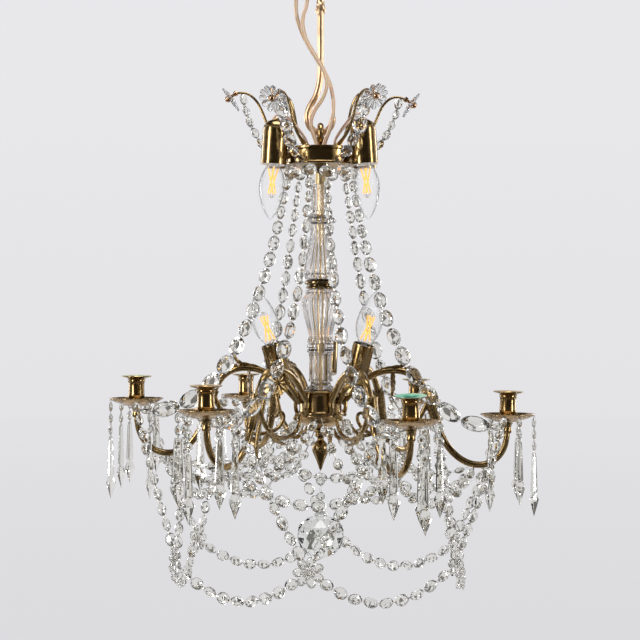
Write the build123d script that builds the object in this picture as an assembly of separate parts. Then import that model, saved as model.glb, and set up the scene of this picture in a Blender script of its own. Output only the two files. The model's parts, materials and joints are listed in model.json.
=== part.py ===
"""Crystal chandelier: a brass crown and a brass hub on a glass-cased centre tube, six candle arms,
strings and swags of cut beads, spear prisms, a crystal ball and five filament lamps.

Millimetres, +Z up. The origin is the middle of the eye that the hanging rod is held by.
Azimuth 0 faces the front (-Y) and grows towards +X. Radii are measured from the vertical axis.
"""
import os
from functools import lru_cache
from math import cos, pi, radians, sin, tan

from build123d import *

# ---------------------------------------------------------------- hanging rod and its eye
EYE_BORE_R = 6.0
EYE_WALL = 5.5
ROD_R = 4.4
EYE_THICK = 9.0
BIGHT_Z = -198.0           # centre line of the rod where the chandelier hangs on it
HOOK_ROUTE = [             # from the eye to the hook's tip, x and z
    (0, -14), (0, -112), (-0.5, -128), (-5, -148), (-15, -164), (-18.5, -177),
    (-15, -190), (-6, BIGHT_Z), (6, BIGHT_Z), (13.5, -191), (16.5, -180),
]
TWIST_Z = -31.0            # the little knot forged in the rod
TWIST_R = 6.6
TWIST_LENGTH = 14.0

# ---------------------------------------------------------------- loop, crown ring and dish
RUNNING_GAP = 0.3
LOOP_WIRE_R = 4.4
LOOP_HOLE_R = 6.4
NECK_R = 8.2
CROWN_TOP_Z = -218.4
CROWN_R = 43.6
CROWN_BAND = 24.0
CROWN_WALL = 1.6
CROWN_LIP = 1.6
DISH_DROP = 10.8
PLAY = 0.3                 # clearance of a piece that slips over another

# ---------------------------------------------------------------- branches of the crown
BRANCHES = 6
FIRST_AZIMUTH = -94.0
BRANCH_ROD_R = 2.0
BRANCH_ROUTE = [           # radius and height above the crown's top
    (38, 0.8), (50, 7), (63, 18), (72, 32), (78, 48), (84, 61), (93, 71), (105, 76), (114, 74),
]
BRANCH_AZIMUTHS = (-94.0, -30.0, 35.0, 87.0, 149.0, -153.0)
BRANCH_LIFTS = (0.0, -14.0, -10.0, -10.0, 12.0, 8.0)  # how far each tip is bent up by hand
TIP_SLOPE = 35.0           # degrees below level that the rosettes' stems point
DAISY_R = 16.5
DAISY_THICK = 5.0
TIP_BALL_R = 4.7
FERRULE_R = 3.6
CROWN_BEADS = [14, 13, 13, 14, 15, 15, 16]
FRONT_CROWN_BEADS = [14, 18, 21, 19, 16, 14]

# ---------------------------------------------------------------- upper sockets
UPPER_SOCKETS = (-66.0, 60.0, 120.0, -125.0)
UPPER_LAMPS = 2            # the two front ones hold a lamp
UPPER_SOCKET_R = 17.0
UPPER_SOCKET_LENGTH = 60.0
UPPER_SOCKET_GAP = 6.0     # from the crown's band to the cup
UPPER_SOCKET_TOP = 35.0    # above the crown's top
UPPER_LEAN = 4.0

# ---------------------------------------------------------------- centre tube and glass column
TUBE_R = 5.7
TUBE_WALL = 1.0
COLLAR_R = 6.9
GLASS_TUBE = (-267.0, -308.5, 14.0)
GLASS_COLLAR = (-308.5, -320.5, 21.4)
BELL = (-320.5, -394.5, 13.4, 24.8)
BRASS_COLLAR = (-394.5, -407.5, 21.4)
BALUSTER = (-407.5, -480.5, 20.6, 25.6, 16.8)
RINGS = (-480.5, -493.0, 18.6)
CYLINDER = (-493.0, -532.0, 16.5)
BASE_CUP = (-532.0, -542.5, 20.8)

# ---------------------------------------------------------------- hub, saucer and finial
HUB_TOP_Z = -542.5
HUB_R = 31.5
HUB_HEIGHT = 33.5
HUB_WALL = 2.0
SAUCER_R = 30.5
SAUCER_DEPTH = 18.5
FINIAL_LENGTH = 56.0
FINIAL_PEAR_R = 11.4

# ---------------------------------------------------------------- candle arms
ARMS = 6
ARM_REACH = 249.2
ARM_TUBE_R = 3.8
ARM_TIP_Z = -575.0
ARM_LIFT = (10.0, 5.5, -6.0, -9.5, -1.0, 6.0)   # how far each end is bent up or down
ARM_ROUTE = [              # radius and z of the hand-bent S, before the last upright run
    (29, -561), (43, -545), (60, -527), (82, -516), (107, -514), (128, -522), (142, -541),
    (151, -568), (160, -597), (175, -621), (197, -635), (222, -635), (241, -620),
]
ARM_SCROLL_ROUTE = [(49, -583), (57, -596), (74, -603), (97, -603), (118, -594), (134, -577), (143, -556)]
SCROLL_R = 2.6
CREST_LEAF = [             # side view of the leaf on the crest of an arm, radius and z
    (70, -520), (88, -509), (104, -503), (116, -497), (112, -506), (124, -511), (131, -522),
    (118, -516), (96, -514),
]
LEAF_THICK = 7.0
CALYX_AT = (153.2, -573.0)
CALYX_R = 6.6
CALYX_LENGTH = 30.0
BOSS_R = 10.0
BOSS_THICK = 5.0
BOSS_AT = (96, -549)

# ---------------------------------------------------------------- bobeches and candle cups
BOBECHE_R = 36.6
BOBECHE_DEPTH = 11.0
BOBECHE_WALL = 1.4
CUP_BORE_R = 9.3
CUP_WALL = 1.2
CUP_RIM_R = 20.0
CUP_HEIGHT = 39.5
CUP_FLOOR = 3.0

# ---------------------------------------------------------------- lower sockets and their brackets
LOWER_SOCKETS = (-66.0, 54.0, 172.0)
LOWER_LEAN = 17.0
LOWER_SEAT = (58.0, -523.0)
LOWER_SOCKET_R = 14.3
LOWER_SOCKET_LENGTH = 44.0
SOCKET_WALL = 1.2
BRACKET_ROUTE = [(29, -560), (37, -545), (47, -533), (60, -528), (72, -535), (80, -550), (84, -568)]
BRACKET_R = 3.4
BRACKET_LEAF_TIP = (90.0, -638.0)
BRACKET_LEAF_R = 7.0

# ---------------------------------------------------------------- lamps
CAP_R = 6.8
CAP_LENGTH = 24.0
HOLDER_WALL = 2.6
HOLDER_LENGTH = 28.0
LAMP_R = 17.5
LAMP_LENGTH = 76.0
LAMP_SHELL = 0.8
LAMP_SUNK = 3.0            # how far the glass starts inside the mouth of its socket

# ---------------------------------------------------------------- crystal
GIRDLE = 1.4
TABLE = 0.56
BEAD_THICK = 0.44          # of the bead's width
PIN_WIDTH = 2.4
PIN_THICK = 1.0
PIN_SUNK = 1.3
GRADUATED_BEADS = [14, 15, 16, 17, 18, 19, 20, 20, 21, 22, 24, 26, 29, 33, 37, 13]
GRADUATED_WIDTHS = [0.8] * 11 + [0.76, 0.7, 0.64, 0.6, 0.7]
GRADUATED_SLACK = (100.0, -602.0)
GRADUATED_ASIDE = (28.0, 30.0, -30.0, -28.0, -28.0, 32.0)  # the side of its arm that each string passes
LONG_STRING_BEADS = [13, 14, 16, 17, 17, 17, 17, 17, 17, 17]
SWAG_BEADS = 9
SWAG_BEAD = 17.5
SWAG_WIDTH = 0.82
SWAG_SAG = 36.0
ROSETTE_RING_R = 208.0
ROSETTE_Z = -757.0
ROSETTE_R = 10.0
ROSETTE_PETALS = 7
ROSETTE_BEAD = 13.0
INNER_SWAG_AT = (205.0, -636.5)
INNER_SWAG_BEADS = 10
INNER_SWAG_SAG = 40.0
HUB_STRING_BEADS = 9
HUB_STRINGS = ((24.0, 197.0, -636.5, 34.0), (-24.0, 226.0, -632.2, 64.0))  # turn from the arm, foot, sag
FESTOON_BEADS = 12
FESTOON_BEAD = 19.0
FESTOON_WIDTH = 15.0
RIM_INSET = 1.5            # from a bobeche's edge to the holes in its rim
FREE_DROP_Z = 3.1          # how far under the rim a freely swinging drop begins
DROP_BEAD = 12.5
SPEAR_LENGTH = 84.0
SPEAR_R = 7.6
WIDE_SPEAR = 1.4
DROP_COUNTS = {0.0: 3, 65.0: 2, -65.0: 2, 130.0: 3, -130.0: 1}
WIDE_DROPS = {(1, -65.0), (3, 65.0), (4, -130.0)}
BALL_R = 30.0
BALL_Z = -738.5
BALL_CONE = 12.0
BALL_BEAD = 12.0

# ---------------------------------------------------------------- supply leads
LEAD_R = 2.4
LEAD_LEFT = [
    (-31, -34, -16), (-34, -31, -37), (-28, -28, -62), (-15, -25, -88), (1, -22, -112),
    (12, -19, -132), (17, -16, -152), (17.5, -14.5, -172), (14, -14, -190), (9.4, -14, -203),
    (5.8, -13, -211), (4.6, -12.6, CROWN_TOP_Z),
]
LEAD_RIGHT = [
    (-17, -34, -16), (-17, -33.5, -32), (-25, -33, -52), (-21, -32, -76), (-8, -31, -98),
    (5, -29, -118), (9.5, -26.5, -137), (3, -23, -156), (-9, -19, -171), (-14, -16, -187), (-9.6, -14.2, -202),
    (-5.9, -13, -211), (-4.6, -12.6, CROWN_TOP_Z),
]
CONNECTOR = (32.0, 12.0, 20.0)
CONNECTOR_AT = (-28.0, -34.0)


# ================================================================ helpers
def radial(radius, azimuth, z):
    """A point at a radius and an azimuth."""
    a = radians(azimuth)
    return Vector(radius * sin(a), -radius * cos(a), z)


def turned(shape, azimuth):
    """A shape drawn in the XZ plane, with X as the radius, turned to an azimuth."""
    return Rot(0, 0, azimuth - 90) * shape


def profile(points):
    """A closed outline in the XZ plane."""
    return make_face(Polyline(*[(x, 0, z) for x, z in points], close=True))


def lathe(points):
    """A solid of revolution about Z from radius and z."""
    return revolve(profile(points), Axis.Z)


def bend_radii(points):
    """The largest even arcs that the runs of a route allow."""
    radii = []
    for before, corner, after in zip(points, points[1:], points[2:]):
        turn = (corner - before).get_angle(after - corner)
        run = min((corner - before).length, (after - corner).length)
        radii.append(0.45 * run / tan(radians(turn) / 2))
    return radii


def tube(points, radius):
    """A round bar along straight runs that tangent arcs join."""
    points = [Vector(*p) for p in points]
    path = FilletPolyline(*points, radius=bend_radii(points))
    return sweep(Plane(origin=path @ 0, z_dir=path % 0) * Circle(radius), path=path), path


def flat_tube(points, radius):
    """A bar whose route is given as radius and z."""
    return tube([(x, 0, z) for x, z in points], radius)[0]


def stacked(rings):
    """A solid of flat faces through rings of points. A ring of one point is a tip."""
    faces = [Face(Wire.make_polygon(ring)) for ring in (rings[0], rings[-1]) if len(ring) > 1]
    for one, two in zip(rings, rings[1:]):
        count = max(len(one), len(two))
        for i in range(count):
            j = (i + 1) % count
            corners = [one[i % len(one)], one[j % len(one)], two[j % len(two)], two[i % len(two)]]
            distinct = [c for n, c in enumerate(corners) if c not in corners[:n]]
            faces.append(Face(Wire.make_polygon(distinct)))
    return Solid(Shell(faces))


def polygon_ring(sides, half_x, half_y, z, first=0.5):
    """A ring of points whose flats lie at half_x and half_y."""
    grow = 1 / cos(pi / sides)
    angles = [2 * pi * (i + first) / sides for i in range(sides)]
    return [Vector(half_x * grow * cos(a), half_y * grow * sin(a), z) for a in angles]


@lru_cache(maxsize=None)
def bead(length, width):
    """A flat eight-sided bead, long axis X, its two tables facing +Z and -Z."""
    thick = max(BEAD_THICK * width, GIRDLE + 2)
    levels = [(TABLE, thick / 2), (1, GIRDLE / 2), (1, -GIRDLE / 2), (TABLE, -thick / 2)]
    return stacked([polygon_ring(8, s * length / 2, s * width / 2, z) for s, z in levels])


@lru_cache(maxsize=None)
def daisy(radius, petals, thick):
    """A scalloped glass flower with its face towards +Z."""
    def ring(share, z):
        count = 2 * petals
        return [
            Vector(share * r * cos(pi * i / petals), share * r * sin(pi * i / petals), z)
            for i in range(count) for r in [radius if i % 2 else 0.82 * radius]
        ]
    return stacked([ring(0.5, thick / 2), ring(1, GIRDLE / 2), ring(1, -GIRDLE / 2), ring(0.4, -thick / 2)])


@lru_cache(maxsize=None)
def spear(length, half):
    """A spear prism hanging from z = 0: cap, long taper, thin neck and arrowhead."""
    levels = [(0.36, 0), (0.48, -0.05 * length), (0.52, -0.12 * length), (0.7, -0.6 * length), (0.44, -0.63 * length),
              (0.6, -0.65 * length), (1.0, -0.73 * length)]
    rings = [polygon_ring(6, s * half, 0.55 * s * half, z) for s, z in levels]
    return stacked(rings + [[Vector(0, 0, -length)]])


def pin(a, b):
    """The flat wire link between two points."""
    d = b - a
    place = Plane(origin=(a + b) / 2, z_dir=d.normalized())
    return place.location * Solid.make_box(
        PIN_WIDTH, PIN_THICK, d.length, Plane((-PIN_WIDTH / 2, -PIN_THICK / 2, -d.length / 2)))


def set_bead(solid, centre, along, facing, twist):
    """A bead with its long axis along a direction, its table towards facing, then twisted about that axis."""
    along = along.normalized()
    face = (facing - along * facing.dot(along)).normalized()
    face = face.rotate(Axis((0, 0, 0), along), twist)
    return Plane(origin=centre, x_dir=along, z_dir=face).location * solid


def curve_points(start, control, end, steps=160):
    """Points along a curve that leaves start and reaches end by way of one control point."""
    shares = [i / steps for i in range(steps + 1)]
    return [start * (1 - t) ** 2 + control * 2 * t * (1 - t) + end * t * t for t in shares]


def hanging(start, end, sag):
    """The control point of a chain that sags between two points."""
    return (start + end) / 2 - Vector(0, 0, 2 * sag)


def strand(start, control, end, lengths, width_share, twist=25.0, facing=None):
    """Beads and wire links along a curve. The beads fill it, and the links share what is left."""
    points = curve_points(start, control, end)
    marks = [0.0]
    for a, b in zip(points, points[1:]):
        marks.append(marks[-1] + (b - a).length)

    def at(distance):
        k = max(i for i, m in enumerate(marks[:-1]) if m <= distance + 1e-9)
        share = (distance - marks[k]) / (marks[k + 1] - marks[k])
        return points[k] + (points[k + 1] - points[k]) * share

    gap = (marks[-1] - sum(lengths)) / (len(lengths) + 1)
    if gap < 1:
        print("WARNING strand too short", round(marks[-1]), sum(lengths))
    solids, last, along = [], start, gap
    for i, length in enumerate(lengths):
        share = width_share[i] if isinstance(width_share, list) else width_share
        head, foot = at(along), at(along + length)
        step = foot - head
        solids.append(pin(last, head + step.normalized() * PIN_SUNK))
        centre = (head + foot) / 2
        outward = facing or Vector(centre.X, centre.Y, 0.001)
        solids.append(set_bead(bead(length, round(length * share, 2)), centre, step, outward,
                               twist * (-1) ** i))
        last = foot - step.normalized() * PIN_SUNK
        along += length + gap
    solids.append(pin(last, end))
    return solids


def drop(top, beads_count, wide):
    """A prism drop that hangs from a point: pins, small octagons and a spear."""
    solids, z = [], top.Z
    here = Vector(top.X, top.Y, 0)
    outward = Vector(top.X, top.Y, 0)
    for _ in range(beads_count):
        solids.append(pin(here + Vector(0, 0, z), here + Vector(0, 0, z - 3 - PIN_SUNK)))
        z -= 3
        solids.append(set_bead(bead(DROP_BEAD, DROP_BEAD), here + Vector(0, 0, z - DROP_BEAD / 2),
                               Vector(0, 0, -1), outward, 0))
        z -= DROP_BEAD
        solids.append(pin(here + Vector(0, 0, z + PIN_SUNK), here + Vector(0, 0, z)))
    solids.append(pin(here + Vector(0, 0, z), here + Vector(0, 0, z - 3 - PIN_SUNK)))
    face = outward.normalized()
    place = Plane(origin=here + Vector(0, 0, z - 3), x_dir=Vector(0, 0, 1).cross(face), z_dir=(0, 0, 1))
    solids.append(place.location * spear(SPEAR_LENGTH, WIDE_SPEAR * SPEAR_R if wide else SPEAR_R))
    return solids


NODES = {}


def node(name, *shapes):
    """Keeps the solids of a named piece, or of a group of like pieces."""
    solids = [s for shape in shapes for s in (shape if isinstance(shape, (list, tuple)) else [shape])]
    NODES[name] = [one for s in solids for one in s.solids()]


def arm_azimuth(i):
    return FIRST_AZIMUTH + 360 / ARMS * i


def lifted(i, radius, z):
    """Where a point of the arms' side view lies once arm i is bent by its lift."""
    return z + ARM_LIFT[i % ARMS] * (radius / ARM_REACH) ** 2


# ================================================================ pieces
def make_hook():
    rod, _ = tube([(x, 0, z) for x, z in HOOK_ROUTE], ROD_R)
    eye = Rot(90, 0, 0) * Cylinder(EYE_BORE_R + EYE_WALL, EYE_THICK)
    neck = Pos(0, 0, -(EYE_BORE_R + EYE_WALL / 2 + 5)) * Cylinder(ROD_R, EYE_WALL + 8)
    knot = lathe([(0, TWIST_Z + TWIST_LENGTH / 2), (ROD_R, TWIST_Z + TWIST_LENGTH / 2), (TWIST_R, TWIST_Z),
                  (ROD_R, TWIST_Z - TWIST_LENGTH / 2), (0, TWIST_Z - TWIST_LENGTH / 2)])
    tip = Pos(HOOK_ROUTE[-1][0], 0, HOOK_ROUTE[-1][1]) * Sphere(ROD_R)
    bore = Rot(90, 0, 0) * Cylinder(EYE_BORE_R, 4 * EYE_THICK)
    node("hook_rod", eye + neck + rod + knot + tip - bore)


def make_crown():
    top = CROWN_TOP_Z
    loop_r = LOOP_HOLE_R + LOOP_WIRE_R
    loop_z = BIGHT_Z + ROD_R + RUNNING_GAP - LOOP_HOLE_R
    loop = Pos(0, 0, loop_z) * Rot(0, 90, 0) * Torus(loop_r, LOOP_WIRE_R)
    neck_top = BIGHT_Z - ROD_R - 2
    neck = Pos(0, 0, (neck_top + top) / 2) * Cylinder(NECK_R, neck_top - top)
    below = Pos(0, 0, top - 50) * Box(100, 100, 100)
    node("hanging_loop", loop + neck - below)

    lip, wall, low = CROWN_R + CROWN_LIP, CROWN_WALL, top - CROWN_BAND
    node("crown_ring", lathe([
        (0, top), (lip - 2, top), (lip, top - 1.5), (lip, top - 4), (CROWN_R, top - 5.5),
        (CROWN_R, low + 3), (lip, low + 2), (lip, low), (CROWN_R - wall, low), (CROWN_R - wall, top - wall),
        (0, top - wall)]))
    dish = low - PLAY / 10
    bore = COLLAR_R + PLAY
    node("crown_dish", lathe([
        (bore, dish - DISH_DROP), (bore + 5, dish - DISH_DROP), (22, dish - 6), (CROWN_R, dish),
        (CROWN_R - 4, dish), (21, dish - 4), (bore + 4, dish - DISH_DROP + wall),
        (bore, dish - DISH_DROP + wall)]))


def branch_z(i, radius, height):
    """The height of a point of branch i, whose tip is bent up or down by hand."""
    first, last = BRANCH_ROUTE[0][0], BRANCH_ROUTE[-1][0]
    return CROWN_TOP_Z + height + BRANCH_LIFTS[i] * ((radius - first) / (last - first)) ** 2


def make_branches():
    rods, balls, flowers = [], [], []
    for i in range(BRANCHES):
        azimuth = BRANCH_AZIMUTHS[i]
        route = [(r, branch_z(i, r, h)) for r, h in BRANCH_ROUTE]
        rods.append(turned(flat_tube(route, BRANCH_ROD_R), azimuth))
        end_r, end_z = route[-1]
        tip = Location((end_r, 0, end_z), (0, 90 + TIP_SLOPE, 0))
        flower = tip * Pos(0, 0, 3 + DAISY_THICK / 2) * daisy(DAISY_R, 10, DAISY_THICK)
        flowers.append(turned(flower, azimuth))
        ferrule = tip * Pos(0, 0, 0.5) * Cylinder(FERRULE_R, 5)
        stem = tip * Pos(0, 0, DAISY_THICK) * Cylinder(BRANCH_ROD_R, 10)
        ball = tip * Pos(0, 0, 3 + DAISY_THICK + TIP_BALL_R) * Sphere(TIP_BALL_R)
        balls.append(turned(ferrule + stem + ball, azimuth))
    node("crown_branches", rods)
    node("crown_rosettes", flowers)
    node("crown_tip_balls", balls)


def festoon_centre(k):
    """The middle of bead k of the festoon under the crown's band."""
    azimuth = FIRST_AZIMUTH + 360 / FESTOON_BEADS * (k + 0.5)
    return radial(CROWN_R + 1, azimuth, CROWN_TOP_Z - CROWN_BAND - 9 - 2 * (k % 2))


def festoon_foot(k):
    """Where a string hooks into bead k of the festoon."""
    return festoon_centre(k) - Vector(0, 0, FESTOON_WIDTH / 2 - PIN_SUNK)


def make_crown_strings():
    strings, festoon = [], []
    low = CROWN_TOP_Z - CROWN_BAND
    edge = CROWN_R + CROWN_LIP - 1
    for i in range(BRANCHES):
        azimuth, foot = BRANCH_AZIMUTHS[i], arm_azimuth(i)
        start_r, start_h = BRANCH_ROUTE[-2]
        start = radial(start_r + 1, azimuth, branch_z(i, start_r + 1, start_h - 1))
        control = radial(94, azimuth, CROWN_TOP_Z)
        beads = FRONT_CROWN_BEADS if abs(azimuth) < 60 else CROWN_BEADS
        strings += strand(start, control, radial(edge, foot, low + 1), beads, 0.8)
    for i in range(FESTOON_BEADS):
        azimuth = FIRST_AZIMUTH + 360 / FESTOON_BEADS * (i + 0.5)
        centre = festoon_centre(i)
        along = radial(1, azimuth + 90, 0.12 * (-1) ** i)
        festoon.append(set_bead(bead(FESTOON_BEAD, FESTOON_WIDTH), centre, along, radial(1, azimuth, 0), 0))
        festoon.append(pin(radial(CROWN_R, azimuth, low + 1), centre + Vector(0, 0, 6)))
    node("crown_strings", strings)
    node("crown_festoon", festoon)


def socket_shell(radius, length, dome):
    """A cup with its mouth at z = 0 and its closed end at z = length."""
    r, wall = radius, SOCKET_WALL
    shoulder = length - dome
    outer = [(r, 0), (r, shoulder), (0.94 * r, shoulder + 0.35 * dome), (0.78 * r, shoulder + 0.7 * dome),
             (0.45 * r, length), (0, length)]
    inner = [(0, length - wall), (0.42 * r, length - wall), (0.74 * r, shoulder + 0.55 * dome),
             (r - wall, shoulder - 1), (r - wall, 0)]
    return lathe(outer + inner)


def lampholder(socket_r, depth):
    """The sleeve that takes a lamp's cap, with a flange that fits the cup's wall, mouth towards -Z."""
    bore, outer, rim = CAP_R + PLAY, CAP_R + PLAY + HOLDER_WALL, socket_r - SOCKET_WALL - 0.05
    top = depth + HOLDER_LENGTH
    return lathe([
        (bore, depth), (outer, depth), (outer, depth + 12), (rim, depth + 12), (rim, depth + 15),
        (outer, depth + 15), (outer, top), (0, top), (0, top - 2), (bore, top - 2)])


def lamp():
    """A candle lamp with its axis along -Z: cap above z = 0, glass below it."""
    glass_r, length = LAMP_R, LAMP_LENGTH
    neck = 7.6
    spine = [(neck, 0), (glass_r * 0.8, -12), (glass_r * 0.985, -22), (glass_r, -30), (glass_r * 0.95, -40),
             (glass_r * 0.78, -52), (glass_r * 0.46, -64), (glass_r * 0.17, -71.5), (0, -length)]
    inside = [(0, -length + 3), (glass_r * 0.16 - 0.4, -70.6), (glass_r * 0.42 - 0.4, -63.2)]
    inside += [(r - LAMP_SHELL, z) for r, z in reversed(spine[1:6])] + [(neck - LAMP_SHELL, -1)]
    glass = lathe(spine[::-1] + [(neck - LAMP_SHELL, 0)] + inside[::-1])
    cap = lathe([(0, 0), (neck, 0), (neck, 2), (CAP_R - 0.3, 2.9), (CAP_R - 0.3, CAP_LENGTH - 4),
                 (3.5, CAP_LENGTH - 1), (3.5, CAP_LENGTH), (0, CAP_LENGTH)])
    stem = lathe([(0, -0.02), (5, -0.02), (3, -6), (1.6, -14), (0, -14)])
    threads = []
    for k in range(4):
        a = pi / 2 * k + pi / 4
        top, foot = Vector(1.2 * cos(a), 1.2 * sin(a), -13), Vector(4.5 * cos(a), 4.5 * sin(a), -46)
        threads.append(Plane(origin=top, z_dir=(foot - top).normalized()).location
                       * Solid.make_cylinder(0.6, (foot - top).length))
    return [glass, cap, stem] + threads


def make_sockets():
    cups, bushes, leads, holders = [], [], [], []
    ring_out = CROWN_R + CROWN_LIP
    for i, azimuth in enumerate(UPPER_SOCKETS):
        centre_r = ring_out + UPPER_SOCKET_GAP + UPPER_SOCKET_R
        mouth_z = CROWN_TOP_Z + UPPER_SOCKET_TOP - UPPER_SOCKET_LENGTH
        place = Location((centre_r, 0, mouth_z), (0, -UPPER_LEAN, 0))
        cups.append(turned(place * socket_shell(UPPER_SOCKET_R, UPPER_SOCKET_LENGTH, 14), azimuth))
        holders.append(turned(place * lampholder(UPPER_SOCKET_R, 6), azimuth))
        bush_z = CROWN_TOP_Z - CROWN_BAND / 2
        bush = Pos(ring_out + UPPER_SOCKET_GAP / 2 - 0.6, 0, bush_z) * Rot(0, 90, 0) * Cylinder(4, UPPER_SOCKET_GAP + 6)
        bushes.append(turned(bush, azimuth))
        crest = CROWN_TOP_Z + UPPER_SOCKET_TOP
        route = [(20, CROWN_TOP_Z), (23, CROWN_TOP_Z + 12), (32, CROWN_TOP_Z + 24), (44, crest + 2),
                 (55, crest + 8), (64, crest + 7), (centre_r + 1, crest - 0.4)]
        leads.append(turned(flat_tube(route, 1.4), azimuth))
    node("upper_socket_cups", cups)
    node("upper_socket_bushes", bushes)
    node("upper_socket_leads", leads)

    tubes, brackets = [], []
    number = 0
    for azimuth in UPPER_SOCKETS[:UPPER_LAMPS]:
        number += 1
        place = Location((centre_r, 0, mouth_z), (0, -UPPER_LEAN, 0)) * Pos(0, 0, LAMP_SUNK)
        node(f"lamp_bulb_{number}", [turned(place * s, azimuth) for s in lamp()])
    for azimuth in LOWER_SOCKETS:
        number += 1
        seat = Location((LOWER_SEAT[0], 0, LOWER_SEAT[1]), (0, LOWER_LEAN, 0))
        mouth = seat * Pos(0, 0, LOWER_SOCKET_LENGTH) * Rot(0, 180, 0)
        tubes.append(turned(mouth * socket_shell(LOWER_SOCKET_R, LOWER_SOCKET_LENGTH, 4), azimuth))
        holders.append(turned(mouth * lampholder(LOWER_SOCKET_R, 6), azimuth))
        node(f"lamp_bulb_{number}", [turned(mouth * Pos(0, 0, LAMP_SUNK) * s, azimuth) for s in lamp()])
        bar = flat_tube(BRACKET_ROUTE, BRACKET_R)
        spigot = seat * Pos(0, 0, -4) * Cylinder(5, 8.0)
        low_r, low_z = BRACKET_ROUTE[-1]
        tip_r, tip_z = BRACKET_LEAF_TIP
        leaf = []
        for share, half in ((0, 0.45), (0.22, 1.0), (0.55, 0.8)):
            x, z = low_r + (tip_r - low_r) * share, low_z + (tip_z - low_z) * share
            leaf.append([Vector(x + p.X, p.Y, z) for p in
                         polygon_ring(8, 0.6 * half * BRACKET_LEAF_R, half * BRACKET_LEAF_R, 0)])
        brackets.append(turned(bar + spigot + stacked(leaf + [[Vector(tip_r, 0, tip_z)]]), azimuth))
    node("lower_socket_tubes", tubes)
    node("lampholders", holders)
    node("socket_brackets", brackets)


def ring_solid(top, low, bore, outline):
    """A turned glass piece with a straight bore, its outside given as radius and z."""
    return lathe([(bore, low), (bore, top)] + outline)


def make_column():
    bore = TUBE_R + PLAY
    tube_top = CROWN_TOP_Z - CROWN_WALL - 0.02
    dish_low = CROWN_TOP_Z - CROWN_BAND - DISH_DROP
    tube_low = HUB_TOP_Z - HUB_HEIGHT - SAUCER_DEPTH
    node("centre_tube", lathe([
        (TUBE_R - TUBE_WALL, tube_low), (TUBE_R, tube_low), (TUBE_R, GLASS_TUBE[0]), (COLLAR_R, GLASS_TUBE[0]),
        (COLLAR_R, dish_low + 4), (TUBE_R, dish_low + 4), (TUBE_R, tube_top), (TUBE_R - TUBE_WALL, tube_top)]))
    top, low, r = GLASS_TUBE
    node("column_tube_glass", ring_solid(top, low, bore, [
        (0.72 * r, top), (r, top - 4), (0.93 * r, top - 20), (r, low + 4), (0.85 * r, low)]))
    top, low, r = GLASS_COLLAR
    node("column_collar_glass", ring_solid(top, low, bore, [
        (0.6 * r, top), (0.85 * r, top - 2), (r, (top + low) / 2), (0.9 * r, low + 2), (0.62 * r, low)]))
    top, low, narrow, wide = BELL
    node("column_bell_glass", ring_solid(top, low, bore, [
        (narrow, top), (narrow, top - 8), (1.08 * narrow, top - 24), (1.25 * narrow, top - 40),
        (0.82 * wide, top - 56), (wide, low + 6), (wide, low + 2), (0.8 * wide, low)]))
    top, low, r = BRASS_COLLAR
    node("column_brass_collar", ring_solid(top, low, bore, [
        (0.8 * r, top), (r, top - 3), (r, top - 6), (0.86 * r, top - 8), (0.9 * r, low)]))
    top, low, neck, bulge, foot = BALUSTER
    node("column_baluster_glass", ring_solid(top, low, bore, [
        (0.8 * neck, top), (neck, top - 5), (0.95 * neck, top - 9), (bulge, top - 17), (bulge, top - 24),
        (0.85 * bulge, top - 36), (foot, top - 54), (0.98 * foot, low + 3), (0.8 * foot, low)]))
    top, low, r = RINGS
    node("column_rings_glass", ring_solid(top, low, bore, [
        (0.8 * r, top), (r, top - 3), (0.84 * r, top - 6), (r, top - 9), (0.8 * r, low)]))
    top, low, r = CYLINDER
    node("column_cylinder_glass", ring_solid(top, low, bore, [
        (0.9 * r, top), (r, top - 3), (r, low + 3), (0.92 * r, low)]))
    top, low, r = BASE_CUP
    node("column_base_cup", ring_solid(top, low, bore, [(0.72 * r, top), (0.85 * r, top - 5), (r, top - 8), (r, low)]))


def make_hub():
    bore = TUBE_R + PLAY
    top, low, r, wall = HUB_TOP_Z, HUB_TOP_Z - HUB_HEIGHT, HUB_R, HUB_WALL
    node("hub_drum", lathe([
        (bore, top), (r - 5, top), (r, top - 3), (r, top - 7), (0.9 * r, top - 9), (0.9 * r, low + 5), (r, low + 3),
        (r, low), (r - wall, low), (0.9 * r - wall, low + 4), (0.9 * r - wall, top - 6), (r - 8, top - wall - 1),
        (bore, top - wall - 1)]))
    s, deep = SAUCER_R, SAUCER_DEPTH
    node("hub_saucer", lathe([
        (bore, low - deep), (9, low - deep), (0.55 * s, low - 0.84 * deep), (0.82 * s, low - 0.55 * deep),
        (0.93 * s, low - 6), (s, low - 4), (s, low), (s - wall, low), (0.9 * s - wall, low - 6),
        (0.5 * s, low - 0.72 * deep), (bore, low - deep + wall + 1)]))
    start = low - deep
    p, end = FINIAL_PEAR_R, low - deep - FINIAL_LENGTH
    node("finial", lathe([
        (0, start), (5, start), (8, start - 3), (8, start - 8), (5, start - 11), (4.2, start - 15),
        (0.75 * p, start - 19), (p, start - 25), (0.88 * p, start - 31), (0.5 * p, start - 40),
        (0.22 * p, start - 50), (1.3, end), (0, end)]))


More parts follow.
